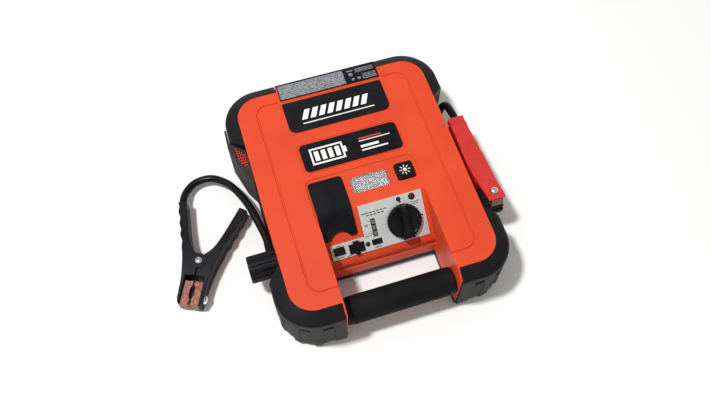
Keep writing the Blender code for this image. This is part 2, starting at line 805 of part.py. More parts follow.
def power_knob(ramp):
    axle = empty("knob_axle", strip_point(KNOB_X, KNOB_S) + (0,), parent=ramp)
    skirt = [
        (0, 0.0020),
        (KNOB_RADIUS, 0.0020),
        (KNOB_RADIUS, 0.0062),
        (KNOB_RADIUS - 0.0012, 0.0074),
        (0, 0.0074),
    ]
    knob = place(lathe("power_knob", skirt, 36), BUTTON_BLACK, axle)
    bar = [(-0.0048, 0.0196), (0.0048, 0.0196), (0.0072, -0.0190), (-0.0072, -0.0190)]
    ridge = prism("knob_bar", bar, 0.0060, 0.0150)
    slope = ridge.modifiers.new("edges", "BEVEL")
    slope.width = 0.0016
    slope.segments = 2
    slope.limit_method = "ANGLE"
    add(knob, place(ridge, None, axle))
    bore = cylinder("knob_bore", 0.0043, -0.001, 0.0104, 16)
    cut(knob, place(bore, None, axle))

    shaft = [(0, -0.0052), (0.0055, -0.0052), (0.0055, -0.0040), (0.0040, -0.0040)]
    shaft += [(0.0040, 0.0100), (0, 0.0100)]
    place(lathe("knob_shaft", shaft, 16), STEEL, axle)
    body = rounded_rectangle(strip_point(KNOB_X, KNOB_S), 0.0170, 0.0160, 0.0020, 2)
    switch = place(prism("power_switch", body, -0.0290, -0.0056), BLACK, ramp)
    for number, side in enumerate((-1, 1)):
        stud = cylinder(f"switch_stud_{number}", 0.0030, -0.0350, -0.0285, 10)
        at = strip_point(KNOB_X + side * 0.0095, KNOB_S) + (0,)
        add(switch, place(stud, None, ramp, at))


# ---- Inside the case ----------------------------------------------------------------
BOARD_POSTS = ((-0.050, -0.070), (0.054, -0.070), (-0.050, 0.024), (0.054, 0.024))
BATTERY_LOW = (-0.0755, 0.0400, 0.0060)
BATTERY_HIGH = (0.0755, 0.1340, 0.0710)
GLAND_Y = -0.0420
GLAND_Z = 0.0225
BOOT_LENGTH = 0.0120


def internals():
    place(
        box("main_board", (-0.0570, -0.0760, 0.0123), (0.0610, 0.0300, 0.0139)), BOARD
    )
    core = place(
        box("charger_transformer", (0.0050, -0.0080, 0.0142), (0.0470, 0.0240, 0.0440)), STEEL
    )
    coil = box("transformer_coil", (0.0110, -0.0130, 0.0180), (0.0410, 0.0290, 0.0400))
    add(core, place(coil, None))

    case = place(box("battery", BATTERY_LOW, BATTERY_HIGH), BATTERY)
    for number, x in enumerate((-0.062, 0.062)):
        well = box(f"terminal_well_{number}", (-0.008, 0.030, 0.056), (0.008, 0.043, 0.080))
        cut(case, place(well, None, location=(x, 0, 0)))
    for label, x in (("negative", -0.062), ("positive", 0.062)):
        blade = box("battery_terminal_" + label, (-0.0032, 0.0310, 0.0600), (0.0032, 0.0427, 0.0608))
        foot = box("terminal_foot_" + label, (-0.0045, 0.0412, 0.0570), (0.0045, 0.0427, 0.0640))
        blade = place(blade, COPPER, location=(x, 0, 0))
        add(blade, place(foot, None, location=(x, 0, 0)))

    strap = [(-0.0930, 0.0050), (-0.0776, 0.0050), (-0.0776, 0.0714), (0.0776, 0.0714)]
    strap += [(0.0776, 0.0050), (0.0930, 0.0050), (0.0930, 0.0064), (0.0790, 0.0064)]
    strap += [(0.0790, 0.0728), (-0.0790, 0.0728), (-0.0790, 0.0064), (-0.0930, 0.0064)]
    place(prism("battery_strap", strap, 0.0780, 0.0980, "Y"), STEEL)

    for label, side in (("negative", -1), ("positive", 1)):
        route = (
            (side * 0.1085, GLAND_Y, GLAND_Z),
            (side * 0.1015, GLAND_Y, GLAND_Z),
            (side * 0.0970, -0.0340, 0.0270),
            (side * 0.0960, -0.0150, 0.0400),
            (side * 0.0860, 0.0120, 0.0550),
            (side * 0.0620, 0.0180, 0.0604),
            (side * 0.0620, 0.0305, 0.0604),
        )
        points = smooth_route(route, 0.011)
        look = BLACK if side < 0 else RED
        place(tube_curve("lead_" + label, points, 0.0060, 2), look)


# ---- Posts, glands and vent ---------------------------------------------------------
def ribbed_outline(radius, depth, ribs):
    points = []
    for i in range(ribs):
        start = 2 * math.pi * i / ribs
        for share, r in ((0.0, radius), (0.55, radius), (0.62, radius - depth), (0.93, radius - depth)):
            angle = start + share * 2 * math.pi / ribs
            points.append((r * math.cos(angle), r * math.sin(angle)))
    return points


def clamp_post(label, side):
    """A post with ribs along its axis and a castellated rim, screwed to the side wall."""
    near = side * (CASE_HALF_X + GAP)
    far = side * (CASE_HALF_X + POST_LENGTH)
    low, high = sorted((near, far))
    post = prism("clamp_post_" + label, ribbed_outline(POST_RADIUS, 0.0016, 12), low, high, "X")
    post = place(post, BLACK, location=(0, POST_Y, POST_Z))
    low, high = sorted((side * (CASE_HALF_X + POST_LENGTH - 0.006), side * 0.170))
    hollow = cylinder("post_hollow_" + label, 0.0095, low, high, 16, "X")
    cut(post, place(hollow, None, location=(0, POST_Y, POST_Z)))


def cable_gland(label, side):
    """An elbow strain relief: a plug through the side wall and a boot that points up the side."""
    low, high = sorted((side * 0.1095, side * 0.1215))
    plug = cylinder("cable_gland_" + label, 0.0051, low, high, 12, "X")
    plug = place(plug, RUBBER, location=(0, GLAND_Y, GLAND_Z))
    inner, outer = sorted((side * (CASE_HALF_X + GAP), side * 0.1283))
    block = prism(
        "gland_block_" + label,
        rounded_rectangle((GLAND_Y, GLAND_Z), 0.0063, 0.0060, 0.0025, 2),
        inner,
        outer,
        "X",
    )
    add(plug, place(block, None))
    boot = lathe(
        "gland_boot_" + label,
        [(0, 0), (0.0051, 0), (0.0049, BOOT_LENGTH), (0, BOOT_LENGTH)],
        14,
    )
    at = (side * CABLE_X, GLAND_Y + 0.003, GLAND_Z)
    add(plug, place(boot, None, location=at, rotation=(-math.pi / 2, 0, 0)))


def side_vent():
    """A grille in a tapered frame on the left side, below the upper bumper."""
    wall = -CASE_HALF_X - GAP
    outline = [(wall, 0.0290), (-0.1268, 0.0290), (-0.1320, 0.0509), (-0.1384, 0.0863)]
    outline += [(-0.1372, 0.1120), (-0.1354, 0.1125), (-0.1354, 0.0925), (wall, 0.0764)]
    body = place(prism("vent_frame", outline, 0.0132, 0.0700), RUBBER)
    opening = [(wall - 0.0020, 0.0530), (-0.1296, 0.0640), (-0.1318, 0.0868), (wall - 0.0020, 0.0740)]
    cut(body, place(prism("vent_opening", opening, 0.0630, 0.0800), None))
    inset = [(wall - 0.0023, 0.0536), (-0.1292, 0.0643), (-0.1314, 0.0860), (wall - 0.0023, 0.0735)]
    grille = place(prism("vent_grille", inset, 0.0633, 0.0706), VENT_RED)
    for number in range(5):
        bar = box(f"grille_slot_{number}", (-0.140, 0.0575, 0.0685), (-0.110, 0.0593, 0.0800))
        cut(grille, place(bar, None, location=(0, number * 0.0048, 0)))


# ---- Cables -------------------------------------------------------------------------
CABLE_X = 0.1234


def handle_approach(turn, pivot, along, across):
    """The last two points of a cable, in line with a clamp handle and just clear of its end."""

    def way(angle):
        return math.cos(angle + turn) * Vector(along) + math.sin(angle + turn) * Vector(across)

    end = pivot + (CLAMP_HANDLE + GAP) * way(HANDLE_HALF_ANGLE)
    return end + 0.008 * way(HANDLE_AXIS), end


def cables():
    start_y = GLAND_Y + 0.003 + BOOT_LENGTH + GAP
    along = (math.cos(BLACK_TURN), math.sin(BLACK_TURN), 0)
    across = (-math.sin(BLACK_TURN), math.cos(BLACK_TURN), 0)
    route = (
        (-CABLE_X, start_y, GLAND_Z),
        (-CABLE_X, start_y + 0.010, GLAND_Z),
        (-0.1268, 0.0030, 0.0224),
        (-0.1315, 0.0260, 0.0215),
        (-0.1385, 0.0480, 0.0190),
        (-0.1500, 0.0710, 0.0155),
        (-0.1680, 0.0870, 0.0120),
        (-0.1870, 0.0885, 0.0106),
        (-0.2000, 0.0810, 0.0104),
        *handle_approach(0.0, BLACK_PIVOT, along, across),
    )
    points = smooth_route(route, 0.0095)
    place(tube_curve("black_cable", points, CABLE_DIAMETER, 3), BLACK)

    route = (
        (CABLE_X, start_y, GLAND_Z),
        (CABLE_X, start_y + 0.010, GLAND_Z),
        (0.1236, 0.0050, 0.0200),
        (0.1245, 0.0280, 0.0165),
        (0.1262, 0.0480, 0.0148),
        (0.1290, 0.0680, 0.0150),
        (0.1304, 0.0806, 0.0203),
        (0.1352, 0.0860, 0.0330),
        (0.1388, 0.0814, 0.0464),
        *handle_approach(-RED_OPEN, RED_PIVOT, (0, 1, 0), (0, 0, 1)),
    )
    points = smooth_route(route, 0.0095)
    place(tube_curve("red_cable", points, CABLE_DIAMETER, 3), BLACK)


# ---- Battery clamps -----------------------------------------------------------------
def arm_outline():
    """Side view of the upper arm when closed: x from the pivot to the handle, y outward."""
    end = CLAMP_HANDLE * Vector((math.cos(HANDLE_HALF_ANGLE), math.sin(HANDLE_HALF_ANGLE)))
    back = -Vector((math.cos(HANDLE_AXIS), math.sin(HANDLE_AXIS)))
    out = Vector((back.y, -back.x))
    return [
        (0.0030, 0.0004),
        (0.0098, 0.0056),
        (0.0120, 0.0085),
        (0.0190, 0.0138),
        (0.0312, 0.0190),
        (0.0466, 0.0240),
        tuple(end - 0.0052 * out + 0.0010 * back),
        tuple(end - 0.0042 * out),
        tuple(end + 0.0048 * out),
        tuple(end + 0.0058 * out + 0.0010 * back),
        (0.0450, 0.0345),
        (0.0300, 0.0296),
        (0.0150, 0.0243),
        (0.0040, 0.0208),
        (-0.0100, 0.0178),
        (-0.0240, 0.0158),
        (-0.0380, 0.0152),
        (-CLAMP_JAW + 0.0020, 0.0138),
        (-CLAMP_JAW, 0.0122),
        (-CLAMP_JAW, 0.0112),
        (-0.0196, 0.0112),
        (-0.0185, 0.0004),
    ]


def arm_half_width(u):
    """The arms are widest at the pivot."""
    widths = ((-0.0540, 0.0100), (-0.0300, 0.0104), (-0.0100, 0.0118), (0.0120, 0.0118))
    widths += ((0.0350, 0.0108), (0.0470, 0.0100), (0.0900, 0.0096))
    for (low, one), (high, two) in zip(widths, widths[1:]):
        if u <= high:
            share = max(0.0, (u - low) / (high - low))
            return one + (two - one) * share
    return widths[-1][1]


def jaw_outline():
    """Side view of one copper jaw: a back that follows the arm, a hollow and a toothed nose."""
    points = [(-0.0202, 0.0109), (-0.0202, 0.0050), (-0.0212, JAW_HOLLOW)]
    points += [(-0.0455, JAW_HOLLOW), (-0.0490, 0.0010)]
    for number in range(3):
        u = -0.0498 - 0.0013 * number
        points += [(u, 0.0016), (u - 0.0006, 0.0005)]
    points += [(-0.0538, 0.0020), (-0.0538, 0.0109)]
    return points


def mirrored(outline, side):
    return [(u, side * v) for u, v in outline]


def drum(name, radius, low, high, frame, turn=0.0):
    return place(cylinder(name, radius, low, high, 20), None, frame, rotation=(0, 0, turn))


def clamp_arm(name, side, frame, turn, look, outer_ears):
    """One arm with two ears round the pivot pin and a clear space for the other arm's ears."""
    arm = prism(name, mirrored(arm_outline(), side), -1.0, 1.0)
    bm = bmesh.new()
    bm.from_mesh(arm.data)
    bmesh.ops.triangulate(bm, faces=bm.faces)
    for vertex in bm.verts:
        vertex.co.z *= arm_half_width(vertex.co.x)
    bm.to_mesh(arm.data)
    bm.free()
    place(arm, look, frame, rotation=(0, 0, turn))
    ear, room = 0.0091, 0.0096
    zones = ((0.0068, 0.0117), (0.0044, 0.0063))
    own, other = zones if outer_ears else zones[::-1]
    cut(arm, drum(name + "_spring_room", 0.0070, -0.0042, 0.0042, frame))
    for number, mirror in enumerate((1, -1)):
        low, high = sorted((mirror * (other[0] - 0.0002), mirror * (other[1] + 0.0003)))
        cut(arm, drum(f"{name}_room_{number}", room, low, high, frame))
        low, high = sorted((mirror * own[0], mirror * own[1]))
        add(arm, drum(f"{name}_ear_{number}", ear, low, high, frame))
    cut(arm, drum(name + "_pin_hole", 0.0023, -0.02, 0.02, frame))
    rivet = cylinder(name + "_rivet_hole", 0.0023, 0.005, 0.030, 12)
    cut(
        arm,
        place(rivet, None, arm, location=(-JAW_RIVET, 0, 0), rotation=(-side * math.pi / 2, 0, 0)),
    )
    return arm


def clamp_jaw(name, side, frame, turn):
    jaw = place(
        prism(name, mirrored(jaw_outline(), side), -0.0070, 0.0070),
        COPPER,
        frame,
        rotation=(0, 0, turn),
    )
    stud = lathe(
        name + "_stud",
        [(0, 0.0080), (0.0020, 0.0080), (0.0020, 0.0173), (0.0042, 0.0173), (0.0034, 0.0188), (0, 0.0192)],
        14,
    )
    add(
        jaw,
        place(stud, None, jaw, location=(-JAW_RIVET, 0, 0), rotation=(-side * math.pi / 2, 0, 0)),
    )
    return jaw


def clamp(label, frame, open_angle, look):
    """Two mirrored arms on one pin with a coil spring and two copper jaws."""
    fixed_turn, moving_turn = -open_angle, open_angle
    clamp_arm(label + "_clamp_arm_fixed", 1, frame, fixed_turn, look, True)
    clamp_jaw(label + "_clamp_jaw_fixed", 1, frame, fixed_turn)
    clamp_arm(label + "_clamp_arm_moving", -1, frame, moving_turn, look, False)
    clamp_jaw(label + "_clamp_jaw_moving", -1, frame, moving_turn)

    pin = [(0, -0.0131), (0.0040, -0.0131), (0.0040, -0.0121), (0.0020, -0.0121)]
    pin += [(0.0020, 0.0121), (0.0040, 0.0121), (0.0040, 0.0131), (0, 0.0131)]
    place(lathe(label + "_clamp_pivot", pin, 16), STEEL, frame)

    turns, pitch, radius = 3.5, 0.0017, 0.0046
    count = 35
    coil = []
    for i in range(count + 1):
        angle = 2 * math.pi * turns * i / count
        rise = pitch * turns * (i / count - 0.5)
        coil.append(Vector((radius * math.cos(angle), radius * math.sin(angle), rise)))
    place(tube_curve(label + "_clamp_spring", coil, 0.0014, 1), STEEL, frame)


def clamps():
    black = empty("black_clamp_frame", BLACK_PIVOT, (0, 0, BLACK_TURN))
    clamp("black", black, 0.0, BLACK)
    red = empty("red_clamp_frame", RED_PIVOT)
    red.rotation_euler = Matrix(((0, 0, 1), (1, 0, 0), (0, 1, 0))).to_euler()
    clamp("red", red, RED_OPEN, RED)


# ---- Assembly -----------------------------------------------------------------------
def build():
    clear_scene()
    ramp = empty("ramp_frame", (0, RAMP_TOP_Y, POCKET_Z), (RAMP_ANGLE, 0, 0))
    front_cover(ramp)
    rear_cover()
    bumper("bottom_left", -1, -1)
    bumper("bottom_right", 1, -1)
    bumper("top_right", 1, 1)
    bumper("top_left", -1, 1)
    handle()
    face_plates()
    socket_cover()
    dc_socket(ramp)
    work_light()
    control_panel(ramp)
    panel_buttons(ramp)
    power_knob(ramp)
    internals()
    for label, side in (("left", -1), ("right", 1)):
        clamp_post(label, side)
        cable_gland(label, side)
    side_vent()
    cables()
    clamps()


build()
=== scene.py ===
from math import asin, atan2, copysign, cos, pi, radians, sin, tan

import bmesh
import bpy
from mathutils import Matrix, Vector


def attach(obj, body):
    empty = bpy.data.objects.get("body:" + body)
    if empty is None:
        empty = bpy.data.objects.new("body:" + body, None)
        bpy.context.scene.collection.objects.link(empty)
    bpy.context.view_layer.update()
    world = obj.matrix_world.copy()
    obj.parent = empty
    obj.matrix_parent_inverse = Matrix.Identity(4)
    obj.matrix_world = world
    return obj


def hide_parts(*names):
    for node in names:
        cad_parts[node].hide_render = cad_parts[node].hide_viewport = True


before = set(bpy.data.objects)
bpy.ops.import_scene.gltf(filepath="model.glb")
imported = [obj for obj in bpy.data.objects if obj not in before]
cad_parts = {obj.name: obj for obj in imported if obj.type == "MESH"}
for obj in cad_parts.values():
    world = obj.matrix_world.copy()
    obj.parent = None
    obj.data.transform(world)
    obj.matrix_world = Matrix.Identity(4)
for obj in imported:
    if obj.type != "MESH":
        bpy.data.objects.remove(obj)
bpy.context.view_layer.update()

# Jump starter pack lying on its back. Units are metres. +Z points out of the front panel,
# +Y to the top end and +X to the right as the labels are read.

# ---- Dimensions shared with the CAD -------------------------------------------------
FACE_Z = 0.08
CASE_HALF_X = 0.118
CASE_HALF_Y = 0.141
CASE_CORNER = 0.028
WALL = 0.0026
SPLIT_Z = 0.012
REAR_LIP = 0.0025
REAR_BOTTOM = 0.002
GAP = 0.0003
SCREWS = [(x, y) for y in (-0.06, 0.03) for x in (-0.1, 0.1)] + [(-0.04, 0.134), (0.04, 0.134)]

CHANNEL_HALF_X = 0.064
TONGUE_HALF_X = CHANNEL_HALF_X + 0.0018
POCKET_HALF_X = 0.065
POCKET_TOP_Y = 0.0105
POCKET_Z = 0.07885
RAMP_TOP_Y = -0.03704
RAMP_ANGLE = radians(40.0)
RAMP_LENGTH = 0.057
NOSE_Y = -0.084
NOSE_TOP_Z = 0.0395
NOSE_STEP_Z = 0.037
NOSE_FOOT_Z = 0.029
NOSE_UNDERCUT = 0.0012
HOLE_TOP_Z = 0.0282
HOLE_BACK_Y = -0.0876
BRIDGE_END_Y = 0.1485

BUMPER_OFFSET = 0.0165
BUMPER_END_X = {-1: 0.0661, 1: 0.0642}
BUMPER_END_Y = 0.078
BUMPER_SLANT = 0.95

GRIP_Y = -0.1395
GRIP_Z = 0.042
CORE_RADIUS = 0.009

POST_Y = -0.06
POST_Z = 0.042
POST_RADIUS = 0.0162
POST_LENGTH = 0.0338

PANEL_THICK = 0.0012
SHEET_TOP = GAP + PANEL_THICK
PLATE_TOP = FACE_Z + 0.0012
INK_LOW, INK_HIGH = PLATE_TOP - 0.0002, PLATE_TOP + 0.00008
LIGHT_KEY_AT = (0.0498, -0.0095)
KNOB_X, KNOB_S = 0.0319, 0.0306
KNOB_RADIUS = 0.0203
SOCKET_X, SOCKET_S = -0.0434, 0.0128
COVER_X = -0.0432
COVER_HALF_X = 0.0202
COVER_TOP_Y = 0.0057
COVER_THICK = 0.0022
HINGE_RISE = 0.0025

CABLE_X = 0.1234
CABLE_DIAMETER = 0.0095
CABLE_SPACING = 0.0055
CABLE_LEAD = 0.01
HANDLE_LEAD = 0.008
GLAND_Y = -0.042
GLAND_Z = 0.0225
BOOT_START = 0.003
BOOT_LENGTH = 0.012
CLAMP_HANDLE = 0.0825
CLAMP_JAW = 0.0535
JAW_RIVET = 0.043
HANDLE_HALF_ANGLE = radians(27.2)
HANDLE_AXIS = radians(17.0)
JAW_HOLLOW = 0.0048
POST_TO_PIVOT = 0.0335
BLACK_PIVOT = Vector((-0.2054, -0.0224, 0.0134))
BLACK_TURN = radians(65.0)
RED_PIVOT = Vector((0.1404, POST_Y + POST_TO_PIVOT, POST_Z))
RED_OPEN = asin((POST_RADIUS + 0.0004 - JAW_HOLLOW) / POST_TO_PIVOT)

# Frames in which parts are drawn. On the ramp, x runs right, y up the slope, z out of it.
RAMP = Matrix.Translation((0, RAMP_TOP_Y, POCKET_Z)) @ Matrix.Rotation(RAMP_ANGLE, 4, "X")
BLACK_FRAME = Matrix.Translation(BLACK_PIVOT) @ Matrix.Rotation(BLACK_TURN, 4, "Z")
RED_FRAME = Matrix.Translation(RED_PIVOT) @ Matrix(((0, 0, 1), (1, 0, 0), (0, 1, 0))).to_4x4()

# ---- Camera and light ---------------------------------------------------------------
CAMERA_AT = (-0.12824, -0.38361, 0.8023)
CAMERA_RIGHT = Vector((0.953425, -0.301629, 0.000133))
CAMERA_UP = Vector((0.268161, 0.84784, 0.457446))
CAMERA_BACK = Vector((-0.138092, -0.436105, 0.889237))
FOCAL_LENGTH = 36.466
SENSOR_WIDTH = 36.0
KEY_AT = (-1.1, 0.08, 2.84)
KEY_POWER = 76.0
KEY_SIZE = 0.28
SKY_COLOUR = (1.0, 0.99, 0.97, 1)
SKY_STRENGTH = 0.46
FLOOR_HALF = 4.0
FLOOR_Z = -0.0001


# ---- Finishes -----------------------------------------------------------------------
def finish_row(slot, colour, second, rough, **rest):
    """A finish: a slot name, which is not used, two linear colours that mix slowly, and a roughness.

    cloud and grain are the sizes in metres of the slow colour change and of the surface
    texture, and depth is the height of that texture. stretch draws the texture out, fleck
    is how dark its spots are, span how much the roughness varies, and shine the specular level.
    """
    row = {
        "span": 0.06, "metal": 0.0, "cloud": 0.035, "grain": 0.0007, "depth": 0.00004,
        "bump": 0.35, "stretch": (1, 1, 1), "fleck": 0.12, "shine": 0.5,
    }
    row.update(slot=slot, colour=colour, second=second, rough=rough, **rest)
    return row


LOOKS = {
    "orange": finish_row(
        "orange_case", (0.72, 0.068, 0.02), (0.655, 0.054, 0.014), 0.46, cloud=0.06, shine=0.28),
    "black": finish_row(
        "black_case", (0.008, 0.008, 0.01), (0.014, 0.014, 0.016), 0.48, shine=0.14),
    "grip": finish_row(
        "grip_rubber", (0.004, 0.004, 0.005), (0.009, 0.009, 0.009), 0.56,
        bump=0.7, shine=0.12, grain=0.0012),
    "cover": finish_row(
        "cover_rubber", (0.005, 0.005, 0.007), (0.01, 0.01, 0.012), 0.52,
        grain=0.0009, bump=0.5, shine=0.1),
    "button": finish_row(
        "black_button", (0.004, 0.004, 0.005), (0.009, 0.009, 0.01), 0.36, bump=0.25, shine=0.16),
    "plate_black": finish_row(
        "black_label", (0.006, 0.006, 0.008), (0.011, 0.011, 0.013), 0.34,
        grain=0.0005, bump=0.2, shine=0.14),
    "print_white": finish_row(
        "black_label", (0.88, 0.88, 0.86), (0.8, 0.8, 0.79), 0.4, cloud=0.01),
    "print_red": finish_row(
        "black_label", (0.62, 0.05, 0.022), (0.52, 0.04, 0.02), 0.4, cloud=0.01),
    "print_dark": finish_row(
        "panel_sheet", (0.012, 0.011, 0.012), (0.03, 0.028, 0.03), 0.45, cloud=0.004, shine=0.2),
    "aluminium": finish_row(
        "panel_sheet", (0.7, 0.72, 0.705), (0.61, 0.63, 0.62), 0.42,
        metal=0.35, cloud=0.02, grain=0.0005, stretch=(0.06, 1, 1), bump=0.3),
    "steel": finish_row(
        "steel", (0.5, 0.5, 0.51), (0.42, 0.42, 0.43), 0.3,
        metal=1.0, grain=0.0004, stretch=(0.1, 1, 1), bump=0.25),
    "chrome": finish_row(
        "steel", (0.82, 0.82, 0.84), (0.74, 0.74, 0.76), 0.14, span=0.04, metal=1.0, bump=0.08),
    "copper": finish_row(
        "copper", (0.36, 0.14, 0.095), (0.16, 0.052, 0.034), 0.45,
        metal=0.3, cloud=0.003, bump=0.3, fleck=0.4),
    "mirror": finish_row(
        "reflector", (0.95, 0.95, 0.96), (0.88, 0.88, 0.91), 0.2, metal=0.6, cloud=0.008, bump=0.08),
    "window": finish_row(
        "dark_window", (0.012, 0.013, 0.01), (0.024, 0.025, 0.02), 0.2,
        cloud=0.003, bump=0.1, shine=0.3),
    "cell": finish_row(
        "dark_window", (0.2, 0.21, 0.13), (0.11, 0.12, 0.07), 0.25, cloud=0.002, bump=0.1),
    "led_red": finish_row(
        "red_lens", (0.11, 0.006, 0.008), (0.06, 0.003, 0.005), 0.16, cloud=0.003, bump=0.1),
    "vent_red": finish_row(
        "vent_red", (0.52, 0.03, 0.018), (0.38, 0.02, 0.013), 0.5, cloud=0.008),
    "cable": finish_row(
        "black_cable", (0.003, 0.003, 0.004), (0.007, 0.007, 0.008), 0.34, grain=0.0014, shine=0.2),
    "lead_red": finish_row("red_cable", (0.45, 0.02, 0.02), (0.36, 0.016, 0.016), 0.4),
    "clamp_black": finish_row(
        "black_clamp_plastic", (0.006, 0.005, 0.009), (0.012, 0.011, 0.016), 0.46,
        grain=0.001, bump=0.5, shine=0.14),
    "clamp_red": finish_row(
        "red_clamp_plastic", (0.64, 0.04, 0.032), (0.54, 0.03, 0.025), 0.4,
        cloud=0.018, grain=0.0012, shine=0.3),
    "board": finish_row(
        "circuit_board", (0.015, 0.11, 0.045), (0.01, 0.075, 0.03), 0.4, cloud=0.004),
    "battery": finish_row("battery_case", (0.045, 0.046, 0.052), (0.06, 0.061, 0.068), 0.5),
}
FLECK_SHADE = 0.72
GUARD_TOP_Z, GUARD_WALL_Z = 0.0712, 0.0694


class Finish:
    """A node material in the making, with object coordinates in metres."""

    def __init__(self, name):
        self.material = bpy.data.materials.new("finish_" + name)
        self.material.use_nodes = True
        self.tree = self.material.node_tree
        self.shader = self.tree.nodes["Principled BSDF"]
        self.place = self.node("TexCoord").outputs["Object"]

    def node(self, kind, **settings):
        node = self.tree.nodes.new("ShaderNode" + kind)
        for key, value in settings.items():
            if hasattr(node, key):
                setattr(node, key, value)
            else:
                node.inputs[key].default_value = value
        return node

    def link(self, value, socket):
        self.tree.links.new(value, socket)

    def mix(self, factor, one, two):
        """Two colours or sockets, mixed by a factor socket."""
        node = self.node("Mix", data_type="RGBA")
        self.link(factor, node.inputs[0])
        for socket, value in ((node.inputs[6], one), (node.inputs[7], two)):
            if isinstance(value, tuple):
                socket.default_value = (*value, 1)
            else:
                self.link(value, socket)
        return node.outputs[2]

    def stretched(self, scale):
        node = self.node("Mapping", Scale=scale)
        self.link(self.place, node.inputs["Vector"])
        return node.outputs["Vector"]

    def noise(self, size, detail=3.0, where=None):
        """A noise texture whose features are about size metres across."""
        node = self.node("TexNoise", Scale=1.0 / size, Detail=detail, Roughness=0.55)
        self.link(where or self.place, node.inputs["Vector"])
        return node.outputs["Fac"]

    def remap(self, value, low, high, to_low, to_high):
        node = self.node("MapRange")
        self.link(value, node.inputs["Value"])
        limits = {"From Min": low, "From Max": high, "To Min": to_low, "To Max": to_high}
        for key, number in limits.items():
            node.inputs[key].default_value = number
        return node.outputs["Result"]

    def done(self, colour, rough, bump=None, strength=0.0, depth=0.0, **constants):
        """Feeds the shader. Constants, such as the specular level, go straight on its sockets."""
        self.link(colour, self.shader.inputs["Base Color"])
        if bump:
            self.link(rough, self.shader.inputs["Roughness"])
            relief = self.node("Bump", Strength=strength, Distance=depth)
            self.link(bump, relief.inputs["Height"])
            self.link(relief.outputs["Normal"], self.shader.inputs["Normal"])
        else:
            self.shader.inputs["Roughness"].default_value = rough
        for key, value in constants.items():
            self.shader.inputs[key.replace("_", " ")].default_value = value
        return self.material


def row_look(name):
    """The finish of a row of LOOKS: slow cloud, fine flecks, uneven roughness and relief."""
    row = LOOKS[name]
    made = Finish(name)
    slow = made.noise(row["cloud"])
    fine = made.noise(row["grain"], 2.0, made.stretched(row["stretch"]))
    base = made.mix(made.remap(slow, 0.35, 0.65, 0.0, 1.0), row["colour"], row["second"])
    deep = tuple(FLECK_SHADE * c for c in row["second"])
    flecks = made.remap(fine, 0.45, 0.75, 0.0, row["fleck"])
    uneven = made.remap(slow, 0.3, 0.7, row["rough"] - row["span"], row["rough"] + row["span"])
    return made.done(
        made.mix(flecks, base, deep), uneven, fine, row["bump"], row["depth"],
        Metallic=row["metal"], Specular_IOR_Level=row["shine"],
    )


def guard_look(name):
    """Moulded rubber: darker and smoother on the sloped top than on the dusty side walls."""
    made = Finish(name)
    height = made.node("SeparateXYZ")
    made.link(made.place, height.inputs[0])
    wall = made.remap(height.outputs["Z"], GUARD_TOP_Z, GUARD_WALL_Z, 0.0, 1.0)
    slow = made.noise(0.025)
    fine = made.noise(0.0009, 2.0)
    top = made.mix(slow, (0.005, 0.005, 0.007), (0.012, 0.012, 0.014))
    side = made.mix(slow, (0.03, 0.03, 0.028), (0.066, 0.066, 0.06))
    flecks = made.remap(fine, 0.45, 0.75, 0.0, 0.25)
    colour = made.mix(flecks, made.mix(wall, top, side), (0.01, 0.01, 0.011))
    rough = made.remap(wall, 0.0, 1.0, 0.46, 0.7)
    return made.done(colour, rough, fine, 0.5, 0.00006, Specular_IOR_Level=0.14)


def label_look(name):
    """Silver film with rows of fine grey print that is only a texture."""
    made = Finish(name)
    rows = made.node("TexWave", wave_type="BANDS", bands_direction="Y", Scale=120.0)
    made.link(made.place, rows.inputs["Vector"])
    speck = made.noise(0.0009, 2.0, made.stretched((0.45, 1.0, 1.0)))
    ink = made.node("Math", operation="MULTIPLY")
    made.link(made.remap(rows.outputs["Fac"], 0.25, 0.6, 0.25, 1.0), ink.inputs[0])
    made.link(made.remap(speck, 0.44, 0.56, 0.0, 1.0), ink.inputs[1])
    colour = made.mix(ink.outputs[0], (0.3, 0.31, 0.34), (0.055, 0.058, 0.072))
    rough = made.remap(speck, 0.3, 0.7, 0.38, 0.5)
    return made.done(colour, rough, speck, 0.2, 0.00003, Metallic=0.1)


def clear_look(name):
    """Clear moulded plastic that lets most of the light through."""
    made = Finish(name)
    slow = made.noise(0.006)
    colour = made.mix(slow, (0.93, 0.95, 0.96), (0.86, 0.89, 0.91))
    rough = made.remap(slow, 0.3, 0.7, 0.03, 0.09)
    return made.done(colour, rough, slow, 0.1, 0.00004, Transmission_Weight=0.9, IOR=1.2)


def floor_look(name):
    """A pale, barely clouded sheet."""
    made = Finish(name)
    return made.done(made.mix(made.noise(0.4), (0.93, 0.93, 0.925), (0.9, 0.9, 0.895)), 0.9)


SPECIAL = {
    "guard": (guard_look, "guard_rubber"),
    "label_print": (label_look, "silver_label"),
    "clear": (clear_look, "clear_lens"),
    "floor": (floor_look, ""),
}
MADE = {}


def look(name):
    """The procedural material of this name, made once."""
    if name not in MADE:
        make = SPECIAL[name][0] if name in SPECIAL else row_look
        MADE[name] = make(name)
    return MADE[name]


# ---- Mesh helpers -------------------------------------------------------------------
MITRE_LIMIT = 0.4
BEVEL_ANGLE = pi / 4
BEVEL_SEGMENTS = 3
WELD_DISTANCE = 0.000002
SLIVER_LENGTH = 0.000001
ROUTE_STEPS = 40


def shift(x, y, z):
    return Matrix.Translation((x, y, z))


def link(obj):
    bpy.context.scene.collection.objects.link(obj)
    return obj


def mesh_object(name, bm, at=None):
    bmesh.ops.recalc_face_normals(bm, faces=bm.faces)
    mesh = bpy.data.meshes.new(name)
    bm.to_mesh(mesh)
    bm.free()
    if at is not None:
        mesh.transform(at)
    return link(bpy.data.objects.new(name, mesh))


